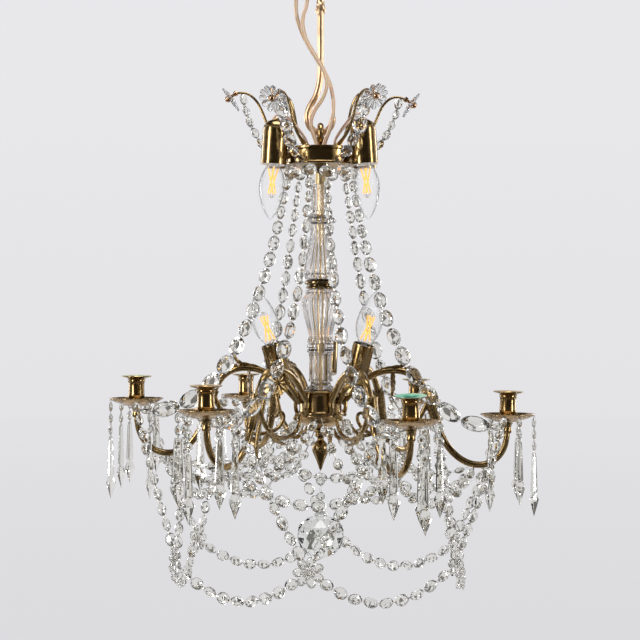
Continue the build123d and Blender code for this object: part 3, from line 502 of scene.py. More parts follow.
def taper(count, first, last):
    """Numbers that go evenly from the first to the last."""
    return [first + (last - first) * k / (count - 1) for k in range(count)]


def leaf_faces(rows, steps):
    """The faces of a leaf. Each row of corners crosses its upper side and then its lower side."""
    faces, under = [], steps + 1
    for a in range(0, 2 * under * (rows - 1), 2 * under):
        b = a + 2 * under
        for k in range(steps):
            faces.append((a + k, a + k + 1, b + k + 1, b + k))
            faces.append((a + under + k, b + under + k, b + under + k + 1, a + under + k + 1))
        faces.append((a, b, b + under, a + under))
        faces.append((a + steps, a + under + steps, b + under + steps, b + steps))
    for a in (0, 2 * under * (rows - 1)):
        faces += [(a + k, a + under + k, a + under + k + 1, a + k + 1) for k in range(steps)]
    return faces


def leaf_rows(line, azimuth):
    """For each point of a leaf's line: its share of the way, its place, and the ways across and outwards."""
    across = polar(1000, azimuth + 90, 0)
    last = len(line) - 1
    for i, p in enumerate(line):
        along = Vector(line[min(i + 1, last)] - line[max(i - 1, 0)]).normalized()
        yield i / last, Vector(p), across, across.cross(along).normalized()


def blade(route, azimuth, half, curl, lobes=0, lift=0.0):
    """A cast leaf along a side route, with a rib and a pointed tip. Half its width is in millimetres."""
    line = rounded(side_route(route, azimuth, lift), 6)
    corners, steps = [], 8
    for t, p, across, out in leaf_rows(line, azimuth):
        wide = half * MM * (math.sin(math.pi * min(1, 0.16 + 0.84 * t)) ** 0.75) + 0.0003
        if lobes:
            wide *= 0.78 + 0.30 * abs(math.sin(math.pi * lobes * t))
        for layer in (1, -1):
            for u in taper(steps + 1, -1, 1):
                bow = -curl * wide * u * u + 0.0008 * (1 - abs(u)) + 0.0003 * math.cos(9 * u)
                corners.append(p + across * u * wide + out * (bow + layer * 0.00075 * (1 - 0.6 * abs(u))))
    return np.array(corners), leaf_faces(len(line), steps)


# ---------------------------------------------------------------- finishes
def fill(node, sockets):
    """Sets a shader node's sockets, or links them where the value is another node's socket."""
    for name, value in sockets.items():
        if isinstance(value, bpy.types.NodeSocket):
            node.id_data.links.new(value, node.inputs[name])
        else:
            node.inputs[name].default_value = value


def add(tree, kind, sockets, out, **settings):
    """Adds a shader node and gives one of its outputs."""
    node = tree.nodes.new("ShaderNode" + kind)
    for name, value in settings.items():
        setattr(node, name, value)
    fill(node, sockets)
    return node.outputs[out]


def noise(tree, scale, detail, out="Fac"):
    place = add(tree, "TexCoord", {}, "Object")
    return add(tree, "TexNoise", {"Scale": scale, "Detail": detail, "Vector": place}, out)


def ramp(tree, source, stops):
    colour = add(tree, "ValToRGB", {"Fac": source}, "Color")
    spots = colour.node.color_ramp.elements
    while len(spots) < len(stops):
        spots.new(0.5)
    for spot, (where, tone) in zip(spots, stops):
        spot.position = where
        spot.color = (*tone, 1) if hasattr(tone, "__len__") else (tone, tone, tone, 1)
    return colour


def bump(tree, source, strength, distance):
    return add(tree, "Bump", {"Strength": strength, "Distance": distance, "Height": source}, "Normal")


def toned(tint, share):
    return [c * share for c in tint]


def made_once(draw):
    """Makes a finish from a drawing of its shader nodes: each named material is drawn once."""
    def finish(name, *values, **named):
        found = bpy.data.materials.get(name)
        if not found:
            found = bpy.data.materials.new(name)
            found.use_nodes = True
            draw(found.node_tree, found.node_tree.nodes["Principled BSDF"], *values, **named)
        return found
    return finish


@made_once
def metal(tree, shader, tint, worn=None, rough=(0.17, 0.27), grain=0.012):
    """Brass with blotches of lacquer and a faint grain, and darker hollows where a worn tint is given."""
    fine = noise(tree, 160, 6)
    tone = ramp(tree, noise(tree, 38, 5), [
        (0.34, toned(tint, 0.72)), (0.52, tint), (0.72, [min(1, c) for c in toned(tint, 1.10)])])
    if worn is not None:
        hollow = ramp(tree, add(tree, "NewGeometry", {}, "Pointiness"), [(0.40, 1.0), (0.50, 0.0)])
        tone = add(tree, "Mix", {"Factor": hollow, "A": tone, "B": (*worn, 1)}, "Result", data_type="RGBA")
    fill(shader, {
        "Metallic": 1.0, "Coat Weight": 0.5, "Coat Roughness": 0.06, "Base Color": tone,
        "Roughness": ramp(tree, fine, [(0.35, rough[0]), (0.7, rough[1])]),
        "Normal": bump(tree, fine, grain, 0.0004)})


def brass():
    return metal("antique brass", colours().brass, colours().patina)


def cast_brass():
    return metal("cast brass", toned(colours().brass, 0.88), toned(colours().patina, 0.6), (0.22, 0.36), 0.10)


def rod_copper():
    return metal("rod copper", colours().copper, rough=(0.30, 0.42))


def brown_brass():
    return metal("brown brass", colours().brown, (0.15, 0.08, 0.032), (0.24, 0.34), 0.05)


def link_wire():
    return metal("link wire", (0.62, 0.56, 0.47), rough=(0.2, 0.35))


@made_once
def stained(tree, shader, spread):
    """Brass with green patches, more of them with a wider spread."""
    tone = ramp(tree, noise(tree, 26, 3), [
        (spread, colours().verdigris), (spread + 0.14, (0.20, 0.62, 0.42)),
        (spread + 0.24, (0.46, 0.66, 0.30)), (spread + 0.34, (0.44, 0.29, 0.11))])
    fill(shader, {"Base Color": tone, "Metallic": 0.55, "Roughness": 0.3})


@made_once
def clear_glass(tree, shader, tint, ior):
    """Clear glass with faint clouds of its tint."""
    tone = ramp(tree, noise(tree, 22, 3), [(0.3, toned(tint, 0.93)), (0.5, tint), (0.7, toned(tint, 1.07))])
    fill(shader, {"Transmission Weight": 1.0, "Roughness": 0.0, "IOR": ior, "Base Color": tone})


def crystal():
    return clear_glass("cut crystal", (0.932, 0.924, 0.876), 1.54)


@made_once
def lamp_glass(tree, shader):
    """Thin glass that is plainly clear where it faces the eye, and shows at its edges."""
    tone = ramp(tree, noise(tree, 30, 2), [(0.4, (0.975, 0.985, 0.985)), (0.6, 1.0)])
    facing = add(tree, "LayerWeight", {"Blend": 0.5}, "Facing")
    fill(shader, {"Transmission Weight": 1.0, "Roughness": 0.0, "IOR": 1.14, "Base Color": tone,
                  "Alpha": ramp(tree, facing, [(0.0, 0.08), (0.55, 0.16), (0.9, 1.0)])})


# The coating's colour is also given as emission: a painted glow on filaments that are not lit.
@made_once
def filament(tree, shader):
    warm = colours().filament
    tone = ramp(tree, noise(tree, 500, 3), [(0.35, toned(warm, 0.75)), (0.6, warm)])
    fill(shader, {"Base Color": tone, "Emission Color": tone, "Emission Strength": 1.1, "Roughness": 0.5})


@made_once
def dull(tree, shader, tint, rough=0.5, grain=300, metallic=0.0):
    fine = noise(tree, grain, 4)
    fill(shader, {"Base Color": ramp(tree, fine, [(0.3, toned(tint, 0.85)), (0.7, tint)]), "Roughness": rough,
                  "Metallic": metallic, "Normal": bump(tree, fine, 0.08, 0.0003)})


@made_once
def lead_sheath(tree, shader):
    """A clear sheath over two coppery cores, with a near-white stripe down the middle that is partly the
    sheath between the cores and partly a painted highlight. The UV map runs round the lead's section.
    """
    section = add(tree, "SeparateXYZ", {"Vector": add(tree, "UVMap", {}, "UV")}, "X")
    edge, side, core = (0.88, 0.78, 0.66), (0.74, 0.42, 0.20), (0.86, 0.56, 0.33)
    # The near-white middle stop (0.97, 0.92, 0.83) is partly the clear sheath between the cores and partly a
    # painted highlight along the lead.
    across = ramp(tree, section, [(0.0, edge), (0.16, side), (0.34, core), (0.5, (0.97, 0.92, 0.83)),
                                  (0.66, core), (0.84, side), (1.0, edge)])
    tone = add(tree, "Mix", {"Factor": 0.35, "A": across, "B": noise(tree, 260, 4, "Color")}, "Result",
               data_type="RGBA", blend_type="MULTIPLY")
    fill(shader, {"Base Color": tone, "Roughness": 0.16, "Coat Weight": 0.6, "Subsurface Weight": 0.15,
                  "Subsurface Radius": (0.002, 0.001, 0.0008)})


def seen(tree):
    """1 for rays that show the backdrop: the camera's, and those that metal and glass pass on."""
    total = add(tree, "LightPath", {}, "Is Camera Ray")
    rays = total.node.outputs
    for kind in ("Is Glossy Ray", "Is Transmission Ray"):
        total = add(tree, "Math", {0: total, 1: rays[kind]}, 0, operation="ADD", use_clamp=True)
    return total


@made_once
def floor_paint(tree, shader):
    """A matt floor, which takes the backdrop's grey and lightens far away where a ray shows the backdrop."""
    grain = ramp(tree, noise(tree, 1.5, 2), [(0.3, (0.74, 0.74, 0.75)), (0.7, (0.78, 0.78, 0.79))])
    fill(shader, {"Base Color": grain, "Roughness": 0.85})
    away = add(tree, "VectorMath", {0: add(tree, "TexCoord", {}, "Object")}, "Value", operation="LENGTH")
    far = add(tree, "MapRange", {"From Min": 6.0, "From Max": 24.0, "Value": away}, "Result")
    pale = colours().backdrop
    tone = ramp(tree, far, [(0.0, toned(pale, 0.965)), (1.0, toned(pale, 1.035))])
    glow = add(tree, "Emission", {"Color": tone}, "Emission")
    share = add(tree, "Math", {0: seen(tree), 1: 0.88}, 0, operation="MULTIPLY")
    blend = add(tree, "MixShader", {0: share, 1: shader.outputs["BSDF"], 2: glow}, "Shader")
    fill(tree.nodes["Material Output"], {"Surface": blend})


def paint(node, finish):
    """Gives a node of the model its finish."""
    obj = NODES[node]
    obj.data.materials.clear()
    obj.data.materials.append(finish)


# ---------------------------------------------------------------- cut glass forms
def cut_bead():
    """A bead cut all over, in a box from -1 to 1: a table in front, a low point behind, a thin girdle."""
    corners = []
    for count, share, z, first in ((8, 0.50, 1.0, 0), (8, 0.80, 0.62, 0.5), (16, 1.0, 0.12, 0),
                                   (16, 1.0, -0.12, 0), (8, 0.66, -0.70, 0.5)):
        corners += [(share * math.cos(a), share * math.sin(a), z) for a in around(count, first)]
    corners.append((0, 0, -1))
    shoulder, front, behind, back, point = 8, 16, 32, 48, 56
    faces = [tuple(range(8))]
    for k in range(8):
        n = (k + 1) % 8
        faces += [(k, shoulder + k, n), (n, shoulder + k, shoulder + n)]
        for a, b, turn in ((shoulder, front, 1), (back, behind, -1)):
            g = [b + (2 * k + s) % 16 for s in range(3)]
            faces += [t[::turn] for t in ((a + k, g[0], g[1]), (a + k, g[1], g[2]), (a + k, g[2], a + n))]
        faces.append((back + n, back + k, point))
    return np.array(corners), faces + band(front, behind, 16, inward=True)


def laid(form, seat, order=(0, 1, 2), grow=1.0):
    """A unit form stretched and turned to a seat's axes."""
    corners, faces = form
    axes = np.array([seat.axes[k] * seat.spans[k] / 2 * grow for k in order])
    if np.linalg.det(np.array([seat.axes[k] for k in order])) < 0:
        axes[1] = -axes[1]
    return corners @ axes + seat.middle, faces


def wire_link(seat):
    """A bent wire link: two wires side by side that meet in a loop at each end."""
    half, width = seat.spans[0] / 2 + 0.0002, sizes().link_width
    along, across = seat.axes[0], seat.axes[1]
    normal = np.cross(along, across)
    corners, turns, sides = [], 10, 4
    for a in around(turns):
        reach = math.copysign(abs(math.cos(a)) ** 0.6, math.cos(a))
        out = along * half * reach + across * (width / 2) * math.sin(a)
        place = seat.middle + out
        out = out / np.linalg.norm(out)
        for b in around(sides):
            corners.append(place + (out * math.cos(b) + normal * math.sin(b)) * sizes().wire_radius)
    return np.array(corners), bands(turns, sides, closed=True)


def links_and_glass(node):
    """A node's wire links, and the seats of its other solids."""
    found = seats(node)
    links = [wire_link(seat) for seat in found if seat.corners <= LINK_CORNERS]
    return join(links), [seat for seat in found if seat.corners > LINK_CORNERS]


def glass_flower(petals, radius, thick):
    """A pressed flower facing +Z: broad round petals, each with a crown down its middle."""
    rows, steps = 6, 6
    sides = petals * steps
    corners = []
    for side in (1, -0.7):
        for s in taper(rows, 0.15, 1):
            for k, a in enumerate(around(sides)):
                lobe = math.sin(math.pi * (k % steps) / steps)
                edge = radius * (0.78 + 0.22 * lobe ** 0.6)
                crown = thick * (0.50 - 0.34 * s * s) * (0.42 + 0.58 * lobe ** 0.7)
                reach = radius * s if s < 0.5 else radius * 0.5 + (edge - radius * 0.5) * (s - 0.5) / 0.5
                bowl = 0.22 * thick * s * s
                corners.append((reach * math.cos(a), reach * math.sin(a), side * crown + bowl))
    under, rim = rows * sides, (rows - 1) * sides
    faces = bands(rows, sides, inward=True) + bands(rows, sides, start=under)
    return np.array(corners), faces + band(rim, under + rim, sides, inward=True) + band(0, under, sides)


def spear_form():
    """A spear drop in a box from -1 to 1, its point down: shoulder, long blade, thin neck and arrowhead."""
    sides = 8
    reach = 1 / math.cos(math.pi / sides)
    corners = [(share * reach * math.cos(a), share * reach * math.sin(a), z)
               for share, z in SPEAR for a in around(sides, 0.5)]
    tip, last = len(corners), len(corners) - sides
    faces = bands(len(SPEAR), sides, inward=True) + [tuple(range(sides))]
    faces += [(last + k, tip, last + (k + 1) % sides) for k in range(sides)]
    return np.array(corners + [(0, 0, -1)]), faces


# ---------------------------------------------------------------- operators
class CHANDELIER_OT_camera(bpy.types.Operator):
    """Sets the camera level with the middle of the column, straight in front"""
    bl_idname = "chandelier.camera"
    bl_label = "Camera"

    def execute(self, context):
        data = bpy.data.cameras.new("Camera")
        data.lens = LENS
        data.sensor_width = 36
        data.clip_start = 0.05
        data.clip_end = 60
        camera = shown("Camera", data, CAMERA_AT)
        camera.rotation_euler = (math.pi / 2, 0, 0)
        context.scene.camera = camera
        return {"FINISHED"}


class CHANDELIER_OT_leads(bpy.types.Operator):
    """Lays the two flat supply leads, their joining block and the thin leads to the upper cups"""
    bl_idname = "chandelier.leads"
    bl_label = "Supply leads"

    def execute(self, context):
        block = self.block()
        wide, thick = sizes().lead_width, sizes().lead_thickness
        outline = []
        for a in around(LEAD_SIDES):
            x = math.cos(a)
            y = math.sin(a) * (0.72 + 0.28 * math.sin(math.pi * abs(x)) ** 0.8)
            outline.append((x, y * thick / wide))
        for side, route in LEADS.items():
            node = f"supply_lead_{side}"
            line = self.smooth_line(route)
            form = swept(line, wide / 2, face=(1, 0.2, 0), outline=outline)
            lead = piece(f"{node}_flat", form, lead_sheath("lead sheath"), node, 60)
            section = lead.data.uv_layers.new(name="section")
            for loop in lead.data.loops:
                row, k = divmod(loop.vertex_index, LEAD_SIDES)
                section.data[loop.index].uv = ((outline[k][0] + 1) / 2, row / len(line))
        paint("upper_socket_leads", dull("thin lead", (0.72, 0.50, 0.40), 0.25, 200))
        return {"FINISHED"}

    def smooth_line(self, route):
        """The points of a smooth curve along a route."""
        curve = bpy.data.curves.new("route", "CURVE")
        curve.dimensions = "3D"
        spline = curve.splines.new("NURBS")
        spline.points.add(len(route) - 1)
        for point, (x, y, z) in zip(spline.points, route):
            point.co = (x * MM, y * MM, z * MM, 1)
        spline.order_u = 3
        spline.use_endpoint_u = True
        spline.resolution_u = 10
        holder = bpy.data.objects.new("route", curve)
        mesh = bpy.data.meshes.new_from_object(holder)
        line = [v.co.copy() for v in mesh.vertices]
        bpy.data.objects.remove(holder)
        bpy.data.curves.remove(curve)
        bpy.data.meshes.remove(mesh)
        return line

    def block(self):
        """The block that joins the leads, with four screws in its front."""
        low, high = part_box("lead_connector")
        middle, size = (low + high) / 2, high - low
        corners = [(-1, -0.7), (-0.9, -1), (0.9, -1), (1, -0.7), (1, 0.7), (0.9, 1), (-0.9, 1), (-1, 0.7)]
        heights = (low.z, low.z + 0.1 * size.z, high.z - 0.1 * size.z, high.z)
        body = swept([(middle.x, middle.y, z) for z in heights], [0.93, 1, 1, 0.93], face=(0, 1, 0),
                     outline=[(y * size.y / 2, -x * size.x / 2) for x, y in corners])
        plastic = dull("block plastic", (0.80, 0.79, 0.76), 0.45)
        made = piece("lead_block", body, plastic, "lead_connector", 30)
        screw = [(AXIS, 0), (1.6, 0), (2.1, -0.4), (2.1, -1.2), (AXIS, -1.2)]
        heads = []
        for x in (-0.3, 0.3):
            for z in (-0.27, 0.27):
                at = (middle.x + x * size.x, low.y + 0.0003, middle.z + z * size.z)
                heads.append(turned(screw, at, (0, -1, 0), 20))
        return [made, piece("lead_block_screws", join(heads), brass(), crease=30)]


class CHANDELIER_OT_hanger(bpy.types.Operator):
    """Finishes the coppery rod, its forged knot and the brass loop that hangs on it"""
    bl_idname = "chandelier.hanger"
    bl_label = "Rod and loop"

    def execute(self, context):
        paint("hook_rod", rod_copper())
        paint("hanging_loop", brass())
        foot = box("hanging_loop")[1]
        neck = lathed([(8.2, foot + 0.2), (10.4, foot + 0.4), (10.4, foot + 2.2), (8.6, foot + 3.6)], 48)
        piece("neck_collar", neck, brass(), crease=30)
        strands, way = [], taper(29, 0, 1)
        for start in (0, math.pi):
            line = [spot(3, start + 5.2 * t, -22 - 20 * t) for t in way]
            radii = [0.0040 * math.sin(math.pi * (0.1 + 0.8 * t)) ** 0.5 for t in way]
            strands.append(swept(line, radii, 12))
        piece("rod_knot", join(strands), rod_copper(), crease=60, body="hanger")
        return {"FINISHED"}


class CHANDELIER_OT_crown(bpy.types.Operator):
    """Turns the crown's band, its dish and its bent, tapering branches"""
    bl_idname = "chandelier.crown"
    bl_label = "Crown"

    def execute(self, context):
        self.band()
        self.dish()
        rods, foot = [], [(AXIS, 0), (4.8, 0), (4.8, 1), (3.6, 2.2), (2.4, 3), (AXIS, 3)]
        start, height = BRANCH[0]
        for azimuth, lift in zip(BRANCH_AZIMUTHS, BRANCH_LIFTS):
            bent = [(r, z + lift * ((r - start) / BRANCH_REACH) ** 2) for r, z in BRANCH]
            line = rounded(side_route(bent, azimuth), 7)
            rods.append(swept(line, taper(len(line), 0.0023, 0.0015)))
            rods.append(turned(foot, polar(start + 0.5, azimuth, height - 0.6), sides=24))
        piece("crown_rods", join(rods), brass(), "crown_branches", 50)
        knobs, ferrule = [], [(AXIS, 0), (3, 0), (3.8, 1.2), (3.4, 4.4), (2, 5.2), (1.9, 12), (AXIS, 12)]
        for seat in seats("crown_tip_balls"):
            out = seat.downward(0)
            half = seat.spans[0] / 2
            knobs.append(turned(ferrule, Vector(seat.middle) - out * half, out, 20))
            knobs.append(moved(ball(4.7), Vector(seat.middle) + out * (half - 4.7 * MM), out))
        reddish = metal("reddish brass", (0.60, 0.36, 0.20), rough=(0.18, 0.3))
        piece("crown_knobs", join(knobs), reddish, "crown_tip_balls", 40)
        return {"FINISHED"}

    def band(self):
        r, foot, top = box("crown_ring")
        r += 2.4
        band = r - 1.6
        outline = [(4, top), (r - 3.4, top)]
        outline += rounded([(r - 3.4, top), (r, top), (r, top - 2.2), (r, top - 4.4),
                            (r - 2.8, top - 4.4)], 5)
        outline += [(band, top - 5.2), (band, foot + 4.2)]
        outline += rounded([(band, foot + 4.2), (band + 0.3, foot + 3), (r, foot + 3), (r, foot),
                            (band - 2.2, foot)], 5)
        outline += [(band - 2.2, top - 1.8), (4, top - 1.8)]
        piece("crown_band", lathed(outline, 128, loop=True), brass(), "crown_ring", 32)

    def dish(self):
        edge, foot, top = box("crown_dish")
        hole, sag = 7.2, top - foot
        outline = rounded([(hole, foot), (hole + 6, foot), (24, foot + 0.36 * sag), (edge - 4, top - 1),
                           (edge, top)], 6)
        outline += [(edge - 3, top), (22, foot + 0.5 * sag), (hole, foot + 1.6)]
        piece("crown_bowl", lathed(outline, 96, loop=True), brass(), "crown_dish", 40)


class CHANDELIER_OT_rosettes(bpy.types.Operator):
    """Presses the glass flowers at the tips of the crown"""
    bl_idname = "chandelier.rosettes"
    bl_label = "Crown rosettes"

    def execute(self, context):
        flowers = []
        for seat in seats("crown_rosettes"):
            out = seat.downward(2)
            flower = glass_flower(sizes().petals, seat.spans[0] * 0.60, seat.spans[2] * 1.5)
            flowers.append(moved(flower, Vector(seat.middle) + out * 0.0015 - UP * 0.0030, out))
        finish = clear_glass("flower glass", (0.93, 0.94, 0.94), 1.50)
        piece("crown_flowers", join(flowers), finish, "crown_rosettes", 46)
        return {"FINISHED"}


class CHANDELIER_OT_sockets(bpy.types.Operator):
    """Spins the upper cups and lower tubes, with their bushes, brackets and lampholders"""
    bl_idname = "chandelier.sockets"
    bl_label = "Lamp cups"

    def execute(self, context):
        cups = []
        for seat in seats("upper_socket_cups"):
            low, high, axis = seat.ends()
            tall = (high - low).length / MM
            cups.append(turned(self.cup(tall), low, axis, 64))
            stub = [(AXIS, tall - 0.4), (4.2, tall - 0.4), (4.2, tall + 1.2), (3, tall + 2.6),
                    (AXIS, tall + 2.6)]
            cups.append(turned(stub, low, axis))
        piece("upper_cups", join(cups), brass(), "upper_socket_cups", 34)
        tubes, r, wall = [], 14.3, 1.2
        for seat in seats("lower_socket_tubes"):
            low, high, axis = seat.ends()
            tall = (high - low).length / MM
            outline = [(AXIS, 0)] + rounded([(8, 0), (r - 1, 0), (r, 1), (r, 4)], 4)
            outline += [(r, tall - 1), (r - 0.3, tall), (r - wall, tall), (r - wall, 12), (AXIS, 12)]
            tubes.append(turned(outline, low, axis, 64))
        piece("lower_tubes", join(tubes), brass(), "lower_socket_tubes", 34)
        self.brackets()
        paint("upper_socket_bushes", brass())
        paint("lampholders", dull("holder plastic", (0.028, 0.024, 0.02), 0.42))
        return {"FINISHED"}

    def cup(self, tall):
        """The outline of an upper cup: a sleeve that ends in a dome, and the same inside."""
        outline = [(15.8, 0), (17, 0), (17, tall - 14.5)]
        arc = [math.pi / 2 * k / 10 for k in range(11)]
        for r, dome, turns in ((17, 14.5, arc[1:]), (15.8, 13.3, arc[::-1])):
            outline += [(max(r * math.cos(a) ** 0.8, AXIS), tall - 14.5 + dome * math.sin(a)) for a in turns]
        return outline

    def brackets(self):
        bars, cap = [], [(AXIS, -9), (6, -9), (5.2, -4), (7.5, -1), (7.5, 0.8), (AXIS, 0.8)]
        for azimuth in BRACKET_AZIMUTHS:
            line = rounded(side_route(BRACKET, azimuth), 7)
            bars.append(swept(line, taper(len(line), 0.0040, 0.0026)))
            lean = polar(1000 * math.sin(TUBE_LEAN), azimuth, 1000 * math.cos(TUBE_LEAN))
            bars.append(turned(cap, polar(58, azimuth, -523), lean, steps=4))
            bars.append(blade(BRACKET_LEAF, azimuth, 3.7, curl=0.6))
        piece("bracket_bars", join(bars), cast_brass(), "socket_brackets", 50)


class CHANDELIER_OT_lamps(bpy.types.Operator):
    """Blows the candle lamps: clear glass, stem, four filaments and a threaded cap"""
    bl_idname = "chandelier.lamps"
    bl_label = "Lamps"

    def execute(self, context):
        outer = rounded(LAMP, 6)
        wall = sizes().glass_wall / MM
        inner = [(max(r - wall, AXIS), z - (wall if z > 70 else 0)) for r, z in outer]
        threads, wires = self.filaments()
        clear = lamp_glass("lamp glass")
        nickel = dull("nickel cap", (0.60, 0.58, 0.54), 0.25, 200, 1.0)
        for number in range(1, 6):
            node, body = f"lamp_bulb_{number}", f"lamp_{number}"
            out = Vector(JOINTS[f"{body}_unscrew"]["axis"])
            start = low_end(np.concatenate(solids_of(node)), np.array(out)) + out * LAMP_CAP * MM
            for part, form, finish, instead, crease in (
                    ("glass", lathed(outer + inner[::-1], 56), clear, node, 60),
                    ("stem", lathed(rounded(LAMP_STEM, 5), 24), clear, None, 60),
                    ("filaments", threads, filament("filament coating with painted glow"), None, 60),
                    ("wires", wires, link_wire(), None, 60),
                    ("cap", lathed(self.cap(), 36), nickel, None, 40)):
                piece(f"{node}_{part}", moved(form, start, out), finish, instead, crease, body)
        return {"FINISHED"}

    def filaments(self):
        """Four filaments that lean round the stem, and the wires at their ends."""
        threads, wires, thin = [], [], 0.00028
        for k in range(4):
            a = math.pi / 2 * k + 0.6
            b = a + 2.1
            top, foot = spot(6.2, a, 8.5), spot(5, b, 41.5)
            threads.append(swept([top, (top + foot) / 2, foot], 0.00098, 8))
            wires.append(swept([spot(1.8, a, 2), top], thin, 5))
            wires.append(swept([foot, spot(2.2, b, 46.5), spot(0, 0, 47)], thin, 5))
        return join(threads), join(wires)

    def cap(self):
        """The outline of the cap, from its contact up over six turns of thread."""
        outline = [(AXIS, -LAMP_CAP), (3.2, -LAMP_CAP), (3.6, -21.5), (5.8, -20)]
        for k in range(6):
            z = -19.2 + 2.6 * k
            outline += [(6.2, z), (6.5, z + 0.7), (6.2, z + 1.4), (5.9, z + 2)]
        return outline + [(6.5, -2.8), (7.4, -1.8), (7.5, 0.6), (AXIS, 0.6)]


class CHANDELIER_OT_column(bpy.types.Operator):
    """Presses the fluted glass of the column and turns the brass between"""
    bl_idname = "chandelier.column"
    bl_label = "Column"

    def execute(self, context):
        paint("centre_tube", metal("tube brass", (0.80, 0.62, 0.34), rough=(0.32, 0.44)))
        pressed = clear_glass("pressed glass", (0.91, 0.88, 0.86), 1.48)
        for node, (flutes, share, steps, outline) in COLUMN_GLASS.items():
            form = lathed(self.bored(node, outline, steps), 8 * flutes or 72, flutes,
                          share * sizes().flute_depth, self.fading, loop=True)
            piece(f"{node}_cut", form, pressed, node, 24)
        collar = lathed(self.bored("column_brass_collar", COLLAR, 5), 72, loop=True)
        dark = metal("dark brass", (0.22, 0.155, 0.075), colours().patina)
        piece("column_collar_brass", collar, dark, "column_brass_collar", 40)
        return {"FINISHED"}

    def bored(self, node, outline, steps):
        """An outline that is given as shares, in its node's place and with the bore for the centre tube."""
        r, foot, top = box(node)
        shape = rounded([(a * r, foot + b * (top - foot)) for a, b in outline], steps)
        return shape + [(COLUMN_BORE, shape[-1][1]), (COLUMN_BORE, shape[0][1])]

    def fading(self, j, rows):
        """How deep the flutes are at a row: they fade at both ends, and the bore has none."""
        return math.sin(math.pi * j / (rows - 3)) ** 0.4 if j < rows - 2 else 0


class CHANDELIER_OT_hub(bpy.types.Operator):
    """Spins the hub drum with the arms' roots, the brown saucer and the finial"""
    bl_idname = "chandelier.hub"
    bl_label = "Hub"

    def execute(self, context):
        self.drum()
        r, foot, top = box("hub_saucer")
        deep = top - foot
        outline = rounded([
            (HUB_BORE, foot), (10, foot), (0.56 * r, foot + 0.10 * deep), (0.86 * r, foot + 0.40 * deep),
            (0.97 * r, foot + 0.72 * deep), (0.985 * r, foot + 0.84 * deep), (r, foot + 0.90 * deep),
            (r, top), (r - 1, top)], 6)
        outline += rounded([(r - 2.2, top), (0.90 * r, foot + 0.72 * deep), (0.50 * r, foot + 0.30 * deep),
                            (HUB_BORE, foot + 3)], 5)
        piece("hub_bowl", lathed(outline, 96, loop=True), brown_brass(), "hub_saucer", 40)
        r, foot, top = box("finial")
        outline = rounded([(max(a * r, AXIS), top + b * (top - foot)) for a, b in FINIAL], 6)
        piece("hub_finial", lathed(outline, 48), brass(), "finial", 50)
        return {"FINISHED"}

    def drum(self):
        r, foot, top = box("hub_drum")
        wall = 0.9 * r
        outline = rounded([
            (HUB_BORE, top), (r - 8, top), (r - 2, top - 0.4), (r, top - 2), (r, top - 4),
            (r - 1.2, top - 5.2), (wall + 0.8, top - 5.8), (wall, top - 7.5)], 4)
        outline += rounded([
            (wall, top - 10), (wall, foot + 7), (wall + 0.4, foot + 4.5), (r, foot + 3.8), (r, foot + 0.8),
            (r - 1.5, foot), (r - 3, foot)], 4)
        outline += [(wall - 2, foot + 4), (wall - 2, top - 6), (HUB_BORE, top - 3)]
        forms = [lathed(outline, 96, loop=True)]
        root = [(32.5, top - 4.5), (33.6, top - 8), (33.8, top - 18), (33.4, foot + 7), (31.5, foot + 2.5)]
        for i in range(ARMS):
            azimuth = FIRST_AZIMUTH + ARM_STEP * i
            line = rounded(side_route(root, azimuth), 5)
            forms.append(swept(line, 0.0034, 12, 0.8, face=polar(1000, azimuth + 90, 0)))
        piece("hub_body", join(forms), brass(), "hub_drum", 36)


